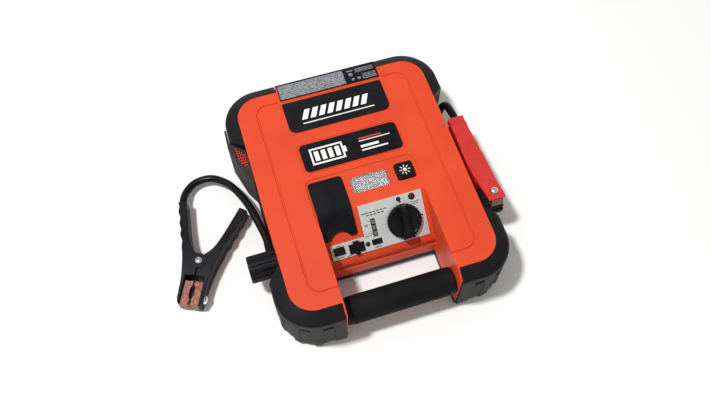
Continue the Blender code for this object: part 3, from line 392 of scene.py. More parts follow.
def loft(name, rings, wrap=False, at=None):
    """Joins rings of points into a closed skin, capped at its ends or wrapped round."""
    bm = bmesh.new()
    made = [[bm.verts.new(p) for p in ring] for ring in rings]
    pairs = list(zip(made, made[1:]))
    if wrap:
        pairs.append((made[-1], made[0]))
    else:
        bm.faces.new(made[0])
        bm.faces.new(made[-1])
    for one, two in pairs:
        for i in range(len(one)):
            j = (i + 1) % len(one)
            bm.faces.new((one[i], one[j], two[j], two[i]))
    return mesh_object(name, bm, at)


def inset(outline, distance):
    """The outline moved inward by a distance, with mitred corners."""
    if not distance:
        return [tuple(p) for p in outline]
    count = len(outline)
    pairs = [(outline[i - 1], outline[i]) for i in range(count)]
    side = copysign(1.0, sum(a[0] * b[1] - b[0] * a[1] for a, b in pairs))
    moved = []
    for i in range(count):
        here = Vector(outline[i])
        before = (here - Vector(outline[i - 1])).normalized()
        after = (Vector(outline[(i + 1) % count]) - here).normalized()
        one = side * Vector((-before.y, before.x))
        two = side * Vector((-after.y, after.x))
        middle = (one + two).normalized()
        moved.append(tuple(here + middle * distance / max(middle.dot(one), MITRE_LIMIT)))
    return moved


def rounding(radius, steps):
    """(inset, rise) pairs of a quarter round, from the edge of a face to the side."""
    turns = [pi / 2 * i / steps for i in range(steps + 1)]
    return [(radius * (1 - sin(a)), radius * (1 - cos(a))) for a in turns]


SWAP = {
    "Z": lambda a, b, c: (a, b, c),
    "X": lambda a, b, c: (c, a, b),
    "Y": lambda a, b, c: (a, c, b),
}


def slab(name, outline, low, high, top=0.0, bottom=0.0, axis="Z", at=None, steps=3):
    """Extrudes an outline from low to high, with rounded edges at the top and the bottom.

    The outline holds (x, y) for Z, (y, z) for X and (x, z) for Y.
    """
    levels = [(d, low + h) for d, h in rounding(bottom, steps)] if bottom else [(0.0, low)]
    levels += [(d, high - h) for d, h in rounding(top, steps)[::-1]] if top else [(0.0, high)]
    rings = [[SWAP[axis](a, b, z) for a, b in inset(outline, d)] for d, z in levels]
    return loft(name, rings, at=at)


def flared(name, outline, low, face, flare, at=None, over=0.004):
    """A cutter whose mouth opens in a small chamfer at the face."""
    grown = inset(outline, -flare)
    rings = [(outline, low), (outline, face - flare), (grown, face), (grown, face + over)]
    return loft(name, [[(x, y, z) for x, y in ring] for ring, z in rings], at=at)


def box_points(low_x, low_y, high_x, high_y):
    return [(low_x, low_y), (high_x, low_y), (high_x, high_y), (low_x, high_y)]


def bar(x, y, half_x, half_y, lean=0.0):
    """A flat bar centred at a point, leaning to the right by lean at its top."""
    return [
        (x - half_x - lean, y - half_y),
        (x + half_x - lean, y - half_y),
        (x + half_x + lean, y + half_y),
        (x - half_x + lean, y + half_y),
    ]


def mirrored(half):
    """A half outline and its mirror image in x, as one outline."""
    return half + [(-x, y) for x, y in half[::-1]]


def block(name, low, high, edge=0.0, at=None):
    outline = box_points(low[0], low[1], high[0], high[1])
    return slab(name, outline, low[2], high[2], edge, edge, at=at, steps=2)


def polar(radius, angle):
    return radius * cos(angle), radius * sin(angle)


def circle(x, y, radius, count=32):
    turns = [polar(radius, 2 * pi * i / count) for i in range(count)]
    return [(x + a, y + b) for a, b in turns]


def rounded_rectangle(centre, half_x, half_y, radii, steps=6):
    """Corner radii run from the lower left corner, counter-clockwise."""
    if not isinstance(radii, tuple):
        radii = (radii,) * 4
    signs = ((-1, -1), (1, -1), (1, 1), (-1, 1))
    points = []
    for number, ((sign_x, sign_y), radius) in enumerate(zip(signs, radii)):
        middle_x = centre[0] + sign_x * (half_x - radius)
        middle_y = centre[1] + sign_y * (half_y - radius)
        for step in range(steps + 1):
            x, y = polar(radius, pi + (number + step / steps) * pi / 2)
            points.append((middle_x + x, middle_y + y))
    return points


def lathe(name, profile, segments=40, tube=False, axis="Z", at=None):
    """Turns (radius, height) points. A solid's profile starts and ends on the axis."""
    bm = bmesh.new()
    rings = []
    for radius, height in profile:
        ring = circle(0, 0, radius, segments) if radius else [(0, 0)]
        rings.append([bm.verts.new(SWAP[axis](x, y, height)) for x, y in ring])
    pairs = list(zip(rings, rings[1:]))
    if tube:
        pairs.append((rings[-1], rings[0]))
    for one, two in pairs:
        for i in range(segments):
            j = (i + 1) % segments
            corners = [one[i % len(one)], one[j % len(one)], two[j % len(two)], two[i % len(two)]]
            bm.faces.new([v for k, v in enumerate(corners) if v is not corners[k - 1]])
    return mesh_object(name, bm, at)


def drum(radius, low, high, at=None, segments=40, axis="Z", name="drum"):
    return lathe(name, [(0, low), (radius, low), (radius, high), (0, high)], segments, axis=axis, at=at)


def sweep(name, path, section, wrap=False):
    """Carries a section of (offset, z) points along (x, y, out_x, out_y) stations."""
    rings = [
        [(x + offset * out_x, y + offset * out_y, z) for offset, z in section]
        for x, y, out_x, out_y in path
    ]
    return loft(name, rings, wrap=wrap)


def path_of(points, closed=False):
    """Stations along a line of points, each with its sideways direction."""
    stations = []
    count = len(points)
    for i, (x, y) in enumerate(points):
        before = points[i - 1] if closed or i else points[0]
        after = points[(i + 1) % count] if closed or i < count - 1 else points[-1]
        along = (Vector(after) - Vector(before)).normalized()
        stations.append((x, y, along.y, -along.x))
    return stations


def bake(obj):
    """Turns an object's modifiers into its mesh."""
    graph = bpy.context.evaluated_depsgraph_get()
    made = bpy.data.meshes.new_from_object(obj.evaluated_get(graph))
    obj.modifiers.clear()
    old = obj.data
    obj.data = made
    bpy.data.meshes.remove(old)
    return obj


def combine(obj, others, operation):
    """Cuts or adds other solids, which are used up, and welds the points that fall together."""
    for other in others:
        step = obj.modifiers.new("step", "BOOLEAN")
        step.operation = operation
        step.solver = "EXACT"
        step.object = other
    bake(obj)
    bm = bmesh.new()
    bm.from_mesh(obj.data)
    bmesh.ops.remove_doubles(bm, verts=bm.verts, dist=WELD_DISTANCE)
    bmesh.ops.dissolve_degenerate(bm, edges=bm.edges, dist=SLIVER_LENGTH)
    bm.to_mesh(obj.data)
    bm.free()
    for other in others:
        bpy.data.objects.remove(other, do_unlink=True)
    return obj


def cut(obj, *others):
    return combine(obj, others, "DIFFERENCE")


def add(obj, *others):
    return combine(obj, others, "UNION")


def round_edges(obj, width, lowest_y=-1.0):
    """Rounds the sharp edges of a mesh, apart from any that reach below lowest_y."""
    bm = bmesh.new()
    bm.from_mesh(obj.data)
    sharp = []
    for edge in bm.edges:
        if edge.calc_face_angle(0) > BEVEL_ANGLE and min(v.co.y for v in edge.verts) > lowest_y:
            sharp.append(edge)
    bmesh.ops.bevel(
        bm, geom=sharp, offset=width, segments=BEVEL_SEGMENTS, affect="EDGES", profile=0.5,
        clamp_overlap=False,
    )
    bm.to_mesh(obj.data)
    bm.free()


def joined(name, objects):
    """One mesh object out of several that don't touch."""
    bm = bmesh.new()
    for obj in objects:
        bm.from_mesh(obj.data)
        bpy.data.objects.remove(obj, do_unlink=True)
    return mesh_object(name, bm)


def marks(name, outlines, low, high, at=None):
    """Many thin flat shapes, such as print, as one mesh."""
    return joined(name, [slab("mark", outline, low, high, at=at) for outline in outlines])


def finish(obj, look_name, body="case", stands_for="", angle=35):
    """Shades a piece, gives it its material, ties it to its body and hides the CAD node that it stands
    for.
    """
    obj.data.materials.clear()
    obj.data.materials.append(look(look_name))
    if obj.type == "MESH":
        obj.data.shade_smooth()
        obj.data.set_sharp_from_angle(angle=radians(angle))
        even = obj.modifiers.new("even", "WEIGHTED_NORMAL")
        even.keep_sharp = True
        bake(obj)
    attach(obj, body)
    if stands_for:
        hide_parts(stands_for)


def smooth_route(points, spacing):
    """Points at about this spacing along a Catmull-Rom curve through the route's points."""
    guide = [Vector(p) for p in points]
    guide = [2 * guide[0] - guide[1]] + guide + [2 * guide[-1] - guide[-2]]
    dense = []
    for a, b, c, d in zip(guide, guide[1:], guide[2:], guide[3:]):
        bend, twist = 2 * a - 5 * b + 4 * c - d, 3 * b - a - 3 * c + d
        for step in range(ROUTE_STEPS):
            t = step / ROUTE_STEPS
            dense.append(0.5 * (2 * b + (c - a) * t + bend * t * t + twist * t * t * t))
    dense.append(guide[-2].copy())
    lengths = [0.0]
    for one, two in zip(dense, dense[1:]):
        lengths.append(lengths[-1] + (two - one).length)
    count = max(2, round(lengths[-1] / spacing))
    kept = []
    at = 0
    for i in range(count + 1):
        target = lengths[-1] * i / count
        while at < len(lengths) - 2 and lengths[at + 1] < target:
            at += 1
        share = (target - lengths[at]) / max(lengths[at + 1] - lengths[at], 1e-9)
        kept.append(dense[at].lerp(dense[at + 1], min(max(share, 0.0), 1.0)))
    return kept


def tube_curve(name, points, diameter, sides=4):
    curve = bpy.data.curves.new(name, "CURVE")
    curve.dimensions = "3D"
    curve.bevel_depth = diameter / 2
    curve.bevel_resolution = sides
    curve.use_fill_caps = True
    spline = curve.splines.new("POLY")
    spline.points.add(len(points) - 1)
    for point, at in zip(spline.points, points):
        point.co = (*at, 1.0)
    spline.use_smooth = True
    return link(bpy.data.objects.new(name, curve))


# ---- Camera, light and floor --------------------------------------------------------
def studio():
    """The photo's camera, one soft key light, a bright sky and the floor."""
    scene = bpy.context.scene
    camera = link(bpy.data.objects.new("camera", bpy.data.cameras.new("camera")))
    camera.data.lens = FOCAL_LENGTH
    camera.data.sensor_width = SENSOR_WIDTH
    camera.data.sensor_fit = "HORIZONTAL"
    turn = Matrix((CAMERA_RIGHT, CAMERA_UP, CAMERA_BACK)).transposed().to_4x4()
    camera.matrix_world = shift(*CAMERA_AT) @ turn
    bpy.context.scene.camera = camera
    scene.view_settings.view_transform = "Standard"

    key = bpy.data.lights.new("key", "AREA")
    key.energy = KEY_POWER
    key.size = KEY_SIZE
    key = link(bpy.data.objects.new("key", key))
    key.location = KEY_AT
    key.rotation_mode = "QUATERNION"
    key.rotation_quaternion = (-Vector(KEY_AT)).to_track_quat("-Z", "Y")

    scene.world = bpy.data.worlds.new("studio")
    scene.world.use_nodes = True
    sky = scene.world.node_tree.nodes["Background"]
    sky.inputs["Color"].default_value = SKY_COLOUR
    sky.inputs["Strength"].default_value = SKY_STRENGTH

    bm = bmesh.new()
    corners = box_points(-FLOOR_HALF, -FLOOR_HALF, FLOOR_HALF, FLOOR_HALF)
    bm.faces.new([bm.verts.new((x, y, FLOOR_Z)) for x, y in corners])
    floor = mesh_object("floor", bm)
    floor.data.materials.append(look("floor"))


# ---- Cables -------------------------------------------------------------------------
def handle_approach(turn, pivot, along, across):
    """The last two points of a cable, in line with a clamp handle and just clear of its end."""

    def way(angle):
        return cos(angle + turn) * Vector(along) + sin(angle + turn) * Vector(across)

    end = pivot + (CLAMP_HANDLE + GAP) * way(HANDLE_HALF_ANGLE)
    return end + HANDLE_LEAD * way(HANDLE_AXIS), end


def cable_routes():
    """Both routes from gland to clamp, chosen as in the CAD."""
    start_y = GLAND_Y + BOOT_START + BOOT_LENGTH + GAP
    along = (cos(BLACK_TURN), sin(BLACK_TURN), 0)
    across = (-sin(BLACK_TURN), cos(BLACK_TURN), 0)
    black = (
        (-CABLE_X, start_y, GLAND_Z),
        (-CABLE_X, start_y + CABLE_LEAD, GLAND_Z),
        (-0.1268, 0.003, 0.0224),
        (-0.1315, 0.026, 0.0215),
        (-0.1385, 0.048, 0.019),
        (-0.15, 0.071, 0.0155),
        (-0.168, 0.087, 0.012),
        (-0.187, 0.0885, 0.0106),
        (-0.2, 0.081, 0.0104),
        *handle_approach(0.0, BLACK_PIVOT, along, across),
    )
    red = (
        (CABLE_X, start_y, GLAND_Z),
        (CABLE_X, start_y + CABLE_LEAD, GLAND_Z),
        (0.1236, 0.005, 0.02),
        (0.1245, 0.028, 0.0165),
        (0.1262, 0.048, 0.0148),
        (0.129, 0.068, 0.015),
        (0.1304, 0.0806, 0.0203),
        (0.1352, 0.086, 0.033),
        (0.1388, 0.0814, 0.0464),
        *handle_approach(-RED_OPEN, RED_PIVOT, (0, 1, 0), (0, 0, 1)),
    )
    return {"black": smooth_route(black, CABLE_SPACING), "red": smooth_route(red, CABLE_SPACING)}


def cables():
    made = {}
    for label, points in cable_routes().items():
        cord = tube_curve(label + "_cord", points, CABLE_DIAMETER)
        finish(cord, "cable", stands_for=label + "_cable")
        length = sum((b - a).length for a, b in zip(points, points[1:]))
        made[label] = (cord, tuple(points[0]), length)
    return made


# ---- Case ---------------------------------------------------------------------------
def case_plan(lip, bridge_half_x, bridge_end):
    """Plan of the case: rounded corners, the bridge at the top end, a tongue at the grip."""
    half_x, half_y, steps = CASE_HALF_X + lip, CASE_HALF_Y + lip, 14
    arcs = rounded_rectangle((0, 0), half_x, half_y, CASE_CORNER + lip, steps)
    lower_left, lower_right, upper_right, upper_left = (
        arcs[i * (steps + 1) : (i + 1) * (steps + 1)] for i in range(4)
    )
    tongue_end = GRIP_Y - 0.0145
    tongue = mirrored([(-TONGUE_HALF_X, -half_y), (-TONGUE_HALF_X, tongue_end)])
    bridge = mirrored([(bridge_half_x, half_y), (bridge_half_x, bridge_end)])
    return lower_left + tongue + lower_right + upper_right + bridge + upper_left


def channel_outline(offset=0.0):
    """Side view (y, z) of the opening for ramp, hand hole and handle, grown by offset."""
    slope_y, slope_z = cos(RAMP_ANGLE), sin(RAMP_ANGLE)
    foot_y = RAMP_TOP_Y - RAMP_LENGTH * slope_y
    foot_z = POCKET_Z - RAMP_LENGTH * slope_z
    lower = offset / cos(RAMP_ANGLE)
    wall_y = NOSE_Y - NOSE_UNDERCUT + offset
    above, below, beyond = 0.2, -0.01, -0.2
    run = 0.1
    return [
        (RAMP_TOP_Y + run * slope_y, POCKET_Z + run * slope_z - lower),
        (foot_y, foot_z - lower),
        (NOSE_Y + offset * 0.6, NOSE_TOP_Z - offset),
        (wall_y, NOSE_STEP_Z - offset),
        (wall_y, NOSE_FOOT_Z - offset),
        (HOLE_BACK_Y + offset, HOLE_TOP_Z - offset),
        (HOLE_BACK_Y + offset, below),
        (beyond, below),
        (beyond, above),
        (RAMP_TOP_Y + run * slope_y, above),
    ]


def front_cavity():
    """The hollow of the front cover, with walls left round the channel and the pocket."""
    plan = rounded_rectangle((0, 0), CASE_HALF_X - WALL, CASE_HALF_Y - WALL, CASE_CORNER - WALL, 10)
    cavity = slab("cavity", plan, SPLIT_Z - 0.01, FACE_Z - WALL, top=0.002)
    end_low = (WALL - CHANNEL_HALF_X, 0.12, SPLIT_Z - 0.009)
    end_high = (CHANNEL_HALF_X - WALL, BRIDGE_END_Y - WALL, FACE_Z - WALL - 0.0001)
    add(cavity, block("end_room", end_low, end_high))
    keep = CHANNEL_HALF_X + WALL
    bosses = [drum(0.0035, 0.0622, 0.1, shift(x, -0.0105, 0), 12) for x in (-0.02, 0.0665)]
    pocket_low = (-POCKET_HALF_X - WALL, RAMP_TOP_Y - 0.005, POCKET_Z - WALL)
    pocket_high = (POCKET_HALF_X + WALL, POCKET_TOP_Y + WALL, 0.1)
    channel_walls = slab("channel_walls", channel_outline(WALL), -keep, keep, axis="X")
    cut(cavity, channel_walls, block("pocket_wall", pocket_low, pocket_high), *bosses)
    return cavity


def groove_section(edge, floor, depth):
    """Section of a groove in the face, from its half widths at the face and at its floor."""
    points = [(-edge, 0.001), (-edge, 0), (-floor, -depth), (floor, -depth), (edge, 0), (edge, 0.001)]
    return [(a, FACE_Z + b) for a, b in points]


def face_grooves():
    """The fine grooves that frame the two side fields and the lower plate."""
    outline = rounded_rectangle((0, 0.00115), 0.0946, 0.12385, 0.0132, 10)
    right = [(0.063, outline[11][1])] + outline[11:33] + [(0.066, outline[32][1])]
    deep = groove_section(0.0013, 0.0006, 0.0014)
    sides = [sweep("groove", path_of([(side * x, y) for x, y in right]), deep) for side in (1, -1)]
    ring = rounded_rectangle((0, 0.0389), 0.0614, 0.0205, 0.0078, 8)
    shallow = groove_section(0.0008, 0.0003, 0.0006)
    return sides + [sweep("plate_groove", path_of(ring, closed=True), shallow, wrap=True)]


def ramp_cutter(outline):
    return slab("ramp_cutter", outline, -0.006, 0.01, at=RAMP)


def ramp_openings(margin):
    """Holes through the ramp or the panel, as outlines on the ramp."""
    rounds = ((KNOB_X, -KNOB_S, 0.006), (0.0307, -0.0045, 0.0021), (0.0464, -0.0053, 0.0034))
    rounds += ((-0.0149, -0.0459, 0.0022),)
    windows = (
        (-0.0036, -0.0287, 0.0028, 0.0108, 0.0008),
        (-0.0037, -0.0457, 0.0061, 0.0034, 0.001),
        (-0.0283, -0.046, 0.0087, 0.0048, 0.0008),
        (-0.0486, -0.0448, 0.0066, 0.0049, 0.0008),
    )
    holes = [circle(x, y, radius + margin, 24) for x, y, radius in rounds]
    for x, y, half_x, half_y, corner in windows:
        holes.append(rounded_rectangle((x, y), half_x + margin, half_y + margin, corner, 3))
    return holes


def side_holes(radius, low, high, y, z):
    """A pair of cutters along X through both side walls."""
    spans = [sorted((side * low, side * high)) for side in (-1, 1)]
    return [drum(radius, *span, shift(0, y, z), 30, "X") for span in spans]


def case_front():
    """The orange front cover with its pocket, ramp, hand hole and all their openings."""
    cover = slab("case_front", case_plan(0.0, CHANNEL_HALF_X, BRIDGE_END_Y), SPLIT_Z, FACE_Z)
    wedge = [(-0.1375, 0.08202), (-0.16, 0.06904), (-0.16, 0.1), (-0.1375, 0.1)]
    channel = slab("channel", channel_outline(), -CHANNEL_HALF_X, CHANNEL_HALF_X, axis="X")
    cut(cover, channel, slab("wedge", wedge, -0.09, 0.09, axis="X"))
    round_edges(cover, 0.0007, lowest_y=-0.1415)
    cut(cover, *side_holes(0.0093, 0.06, 0.068, GRIP_Y, GRIP_Z))
    cut(cover, *side_holes(0.0055, 0.11, 0.125, GLAND_Y, GLAND_Z))
    cut(cover, front_cavity())

    pocket = rounded_rectangle((0, -0.0205), POCKET_HALF_X, 0.031, (0.001, 0.001, 0.008, 0.008), 6)
    lens_hole = box_points(-0.0142, -0.0209, 0.0288, -0.0002)
    button_hole = rounded_rectangle(LIGHT_KEY_AT, 0.011, 0.011, 0.0031, 5)
    cut(cover, flared("pocket", pocket, POCKET_Z, FACE_Z, 0.0006), *face_grooves())
    cut(
        cover,
        flared("lens_hole", lens_hole, 0.06, POCKET_Z, 0.0004),
        flared("button_hole", button_hole, 0.06, POCKET_Z, 0.0005),
        ramp_cutter(circle(SOCKET_X, -SOCKET_S, 0.0104)),
        *[ramp_cutter(outline) for outline in ramp_openings(0.0002)],
    )
    steps = []
    for z in (0.0355, 0.0318):
        low, high = (-0.0655, NOSE_Y - 0.003, z), (0.0655, NOSE_Y - 0.0004, z + 0.0011)
        steps.append(block("nose_step", low, high))
    cut(cover, *steps)
    finish(cover, "orange", stands_for="front_cover")


def rear_cavity():
    """The hollow of the rear cover, with the posts of the main board left standing."""
    half_x, half_y = (half + REAR_LIP - WALL for half in (CASE_HALF_X, CASE_HALF_Y))
    inner = rounded_rectangle((0, 0), half_x, half_y, CASE_CORNER, 10)
    cavity = slab("rear_cavity", inner, REAR_BOTTOM + WALL, 0.05)
    room_low = (WALL - CHANNEL_HALF_X, 0.12, REAR_BOTTOM + WALL + 0.0001)
    room_high = (CHANNEL_HALF_X - WALL, BRIDGE_END_Y - GAP - 0.001, 0.049)
    add(cavity, block("rear_end_room", room_low, room_high))
    walls_low = (-CHANNEL_HALF_X - WALL, -0.2, -0.01)
    walls_high = (CHANNEL_HALF_X + WALL, HOLE_BACK_Y + WALL, 0.06)
    posts = [
        drum(0.0032, -0.01, 0.012, shift(x, y, 0), 16) for x in (-0.05, 0.054) for y in (-0.07, 0.024)
    ]
    return cut(cavity, block("hole_walls", walls_low, walls_high), *posts)


def case_rear():
    """The black rear cover with its lip, its screw wells and a grooved floor."""
    plan = case_plan(REAR_LIP, CHANNEL_HALF_X - GAP, BRIDGE_END_Y + REAR_LIP)
    cover = slab("case_rear", plan, REAR_BOTTOM, SPLIT_Z - GAP)
    cut(cover, block("hole", (-CHANNEL_HALF_X, -0.19, -0.009), (CHANNEL_HALF_X, HOLE_BACK_Y, 0.059)))
    round_edges(cover, 0.0006)
    lip_low = (GAP - CHANNEL_HALF_X, BRIDGE_END_Y + GAP, REAR_BOTTOM + 0.003)
    lip_high = (CHANNEL_HALF_X - GAP, BRIDGE_END_Y + REAR_LIP - 0.0001, FACE_Z - 0.0005)
    add(cover, block("top_lip", lip_low, lip_high, 0.0005))
    cavity = rear_cavity()
    grooves = [
        slab("floor_groove", bar(0.0, 0.0465 + 0.0101 * i, 0.06, 0.0011), 0.001, REAR_BOTTOM + 0.0008)
        for i in range(6)
    ]
    well = [(0, 0.0), (0.0044, 0.0), (0.004, 0.0036), (0, 0.0036)]
    wells = [lathe("screw_well", well, 24, at=shift(x, y, 0)) for x, y in SCREWS]
    cut(cover, joined("floor_grooves", grooves), *wells)
    cut(cover, cavity)
    finish(cover, "black", stands_for="rear_cover")


def rear_screws():
    """Cross-head screws sunk in the wells of the rear cover."""
    profile = [(0, 0.0022), (0.0026, 0.0022), (0.0033, 0.0028), (0.0033, 0.0036), (0, 0.0036)]
    for number, (x, y) in enumerate(SCREWS):
        head = lathe(f"rear_screw_{number}", profile, 24, at=shift(x, y, 0))
        slots = [
            block("slot", (x - a, y - b, 0.001), (x + a, y + b, 0.003))
            for a, b in ((0.0019, 0.0004), (0.0004, 0.0019))
        ]
        finish(cut(head, *slots), "steel")


def rear_feet():
    """Four rubber feet with two fine rings in each."""
    pad = [(0, 0.0), (0.0086, 0.0), (0.0096, 0.0006), (0.01, 0.0022), (0, 0.0022)]
    for number, (x, y) in enumerate(box_points(-0.092, -0.112, 0.092, 0.112)):
        foot = lathe(f"rear_foot_{number}", pad, 40, at=shift(x, y, 0))
        rings = []
        for r in (0.0028, 0.0056):
            groove = [(r, -0.001), (r + 0.001, -0.001), (r + 0.0008, 0.0005), (r + 0.0002, 0.0005)]
            rings.append(lathe("ring", groove, 40, tube=True, at=shift(x, y, 0)))
        finish(cut(foot, *rings), "grip")


# ---- Corner guards ------------------------------------------------------------------
# (offset from the case, z, 1 where the wall can be sunken)
GUARD_SECTION = (
    (GAP, 0.0797, 0), (0.0018, 0.079, 0), (0.0075, 0.0762, 0), (0.0134, 0.0729, 0),
    (0.0149, 0.0716, 0), (0.016, 0.0701, 0), (BUMPER_OFFSET, 0.0686, 0), (BUMPER_OFFSET, 0.066, 0),
    (BUMPER_OFFSET, 0.0545, 0), (BUMPER_OFFSET, 0.0532, 1), (BUMPER_OFFSET, 0.044, 1),
    (BUMPER_OFFSET, 0.03, 1), (BUMPER_OFFSET, 0.017, 1), (BUMPER_OFFSET, 0.0075, 1),
    (0.0158, 0.0046, 1), (0.0142, 0.003, 1), (REAR_LIP + 2 * GAP, 0.003, 0),
    (REAR_LIP + 2 * GAP, SPLIT_Z + GAP, 0), (GAP, SPLIT_Z + GAP, 0),
)
GUARD_MIDDLE_X = CASE_HALF_X - CASE_CORNER
GUARD_MIDDLE_Y = CASE_HALF_Y - CASE_CORNER
GUARD_REACH = CASE_CORNER + BUMPER_OFFSET
GUARD_BEND = GUARD_REACH * pi / 2
GUARD_LAST = GUARD_MIDDLE_Y - BUMPER_END_Y
GUARD_STATIONS = 48
GUARD_SLOT_X = 0.0866
GUARD_SLOT_Z = 0.0594
GUARD_SLOT_TURNS = (61, 31)
PANEL_HALF = 0.0082
PANEL_DEPTH = 0.0016
PANEL_SLOPE = 0.0012
LAST_PANEL = (0.015, 0.03)
SMALLEST_STEP = 0.00045


def guard_station(length, straight):
    """Where a guard's path is at this length: (x, y, out_x, out_y, slant)."""
    if length <= straight:
        return (GUARD_MIDDLE_X - straight + length, CASE_HALF_Y, 0.0, 1.0, 0.0)
    if length <= straight + GUARD_BEND:
        out_x, out_y = polar(1.0, pi / 2 - (length - straight) / GUARD_REACH)
        at = (GUARD_MIDDLE_X + CASE_CORNER * out_x, GUARD_MIDDLE_Y + CASE_CORNER * out_y)
        return (*at, out_x, out_y, 0.0)
    done = (length - straight - GUARD_BEND) / GUARD_LAST
    return (CASE_HALF_X, GUARD_MIDDLE_Y - done * GUARD_LAST, 1.0, 0.0, BUMPER_SLANT * done)


def guard_lengths(total, corners, panels):
    """Lengths along the path where a guard has a ring of points."""
    stops = {0.0, total, *corners}
    stops.update(total * i / GUARD_STATIONS for i in range(GUARD_STATIONS + 1))
    for low, high in panels:
        stops.update((low, low + PANEL_SLOPE, high - PANEL_SLOPE, high))
    ordered = sorted(stops)
    kept = [ordered[0]]
    for value in ordered[1:]:
        if value - kept[-1] > SMALLEST_STEP:
            kept.append(value)
    return kept


def guard_slots(side_x, side_y):
    """Cutters for the three blind slots: one on the straight and two round the corner."""
    spots = [(GUARD_SLOT_X - GUARD_MIDDLE_X, GUARD_REACH, pi / 2)]
    spots += [(*polar(GUARD_REACH, radians(a)), radians(a)) for a in GUARD_SLOT_TURNS]
    outline = rounded_rectangle((0, 0), 0.006, 0.0031, 0.0008, 3)
    cutters = []
    for x, y, angle in spots:
        turn = atan2(side_y * sin(angle), side_x * cos(angle))
        place = shift(side_x * (GUARD_MIDDLE_X + x), side_y * (GUARD_MIDDLE_Y + y), GUARD_SLOT_Z)
        place = place @ Matrix.Rotation(turn, 4, "Z")
        cutters.append(slab("slot", outline, -0.009, 0.004, axis="X", at=place))
    return cutters


def corner_guard(label, side_x, side_y):
    """A swept rubber guard with blind slots and sunken panels between raised ribs."""
    straight = GUARD_MIDDLE_X - BUMPER_END_X[side_y]
    middles = [GUARD_SLOT_X - BUMPER_END_X[side_y]]
    middles += [straight + GUARD_REACH * radians(90 - a) for a in GUARD_SLOT_TURNS]
    panels = [(middle - PANEL_HALF, middle + PANEL_HALF) for middle in middles]
    if label != "top_left":
        panels.append(tuple(middles[-1] + length for length in LAST_PANEL))

    rings = []
    total = straight + GUARD_BEND + GUARD_LAST
    for length in guard_lengths(total, (straight, straight + GUARD_BEND), panels):
        sunk = 0.0
        for low, high in panels:
            sunk = max(sunk, min(1.0, (length - low) / PANEL_SLOPE, (high - length) / PANEL_SLOPE))
        x, y, out_x, out_y, slant = guard_station(length, straight)
        ring = []
        for offset, z, panel in GUARD_SECTION:
            out = offset - PANEL_DEPTH * panel * sunk
            ring.append((side_x * (x + out * out_x), side_y * (y + out * (out_y + slant)), z))
        rings.append(ring)
    guard = loft("guard_" + label, rings)
    cut(guard, *guard_slots(side_x, side_y))
    finish(guard, "guard", stands_for="bumper_" + label, angle=28)


# ---- Carry grip ---------------------------------------------------------------------
GRIP_RIBS = 44
GRIP_RIB_SHAPE = (0.0, 0.25, 1.0, 0.25)


def carry_grip():
    """A rubber sleeve with fine ribs along it and a plain collar at each end."""
    end = CHANNEL_HALF_X - GAP
    half = [(0.0, 0.0138, 0.0), (0.0006, 0.0148, 0.0), (0.0022, 0.0155, 0.0), (0.0044, 0.0157, 0.0)]
    half += [(0.005, 0.0153, 0.0), (0.0056, 0.0153, 0.0), (0.0064, 0.0159, 0.0)]
    half += [(0.008, 0.016, 0.0), (0.0086, 0.016, 0.00045)]
    stations = [(-end + x, r, rib) for x, r, rib in half]
    stations += [(end - x, r, rib) for x, r, rib in half[::-1]]
    stations += [(end, CORE_RADIUS + GAP, 0.0), (-end, CORE_RADIUS + GAP, 0.0)]
    count = GRIP_RIBS * len(GRIP_RIB_SHAPE)
    rings = []
    for x, radius, rib in stations:
        ring = []
        for i in range(count):
            a, b = polar(radius - rib * GRIP_RIB_SHAPE[i % len(GRIP_RIB_SHAPE)], 2 * pi * i / count)
            ring.append((x, GRIP_Y + a, GRIP_Z + b))
        rings.append(ring)
    finish(loft("grip_sleeve", rings, wrap=True), "grip", stands_for="handle_grip", angle=60)


# ---- Plates on the face -------------------------------------------------------------
def ink(name, outlines, paint):
    finish(marks(name, outlines, INK_LOW, INK_HIGH), paint)


def face_plate(name, outline, rounded, steps, node):
    plate = slab(name, outline, FACE_Z + GAP, PLATE_TOP, top=rounded, steps=steps)
    finish(plate, "plate_black", stands_for=node)


def top_label():
    """The black label on the bridge, with a silver film and small plain symbols."""
    label = rounded_rectangle((0.0005, 0.1368), 0.063, 0.0113, 0.0008, 3)
    face_plate("label_plate", label, 0.0002, 1, "info_label")
    ink("label_film", [box_points(-0.0613, 0.1266, 0.0215, 0.147)], "label_print")
    small = [circle(0.0318 + 0.0075 * i, 0.1305, 0.0021, 20) for i in range(2)]
    small += [circle(0.0305, 0.1382, 0.0026, 24), bar(0.0305, 0.1435, 0.004, 0.0008)]
    small += [bar(0.0485, 0.1445 - 0.0022 * i, 0.0118, 0.0006) for i in range(3)]
    small += [bar(0.0525, 0.135 - 0.0022 * i, 0.0088, 0.0006) for i in range(4)]
    ink("label_symbols", small, "label_print")


def upper_plate():
    """The plate with plain leaning stripes."""
    outline = rounded_rectangle((0, 0.0984), 0.0625, 0.0221, (0.009, 0.009, 0.0015, 0.0015), 8)
    face_plate("upper_plate", outline, 0.0003, 2, "brand_plate")
    stripes = [bar(-0.038 + 0.0105 * i, 0.0984, 0.0034, 0.0068, 0.0032) for i in range(8)]
    ink("upper_plate_stripes", stripes + [bar(0.0, 0.0862, 0.0445, 0.0007)], "print_white")


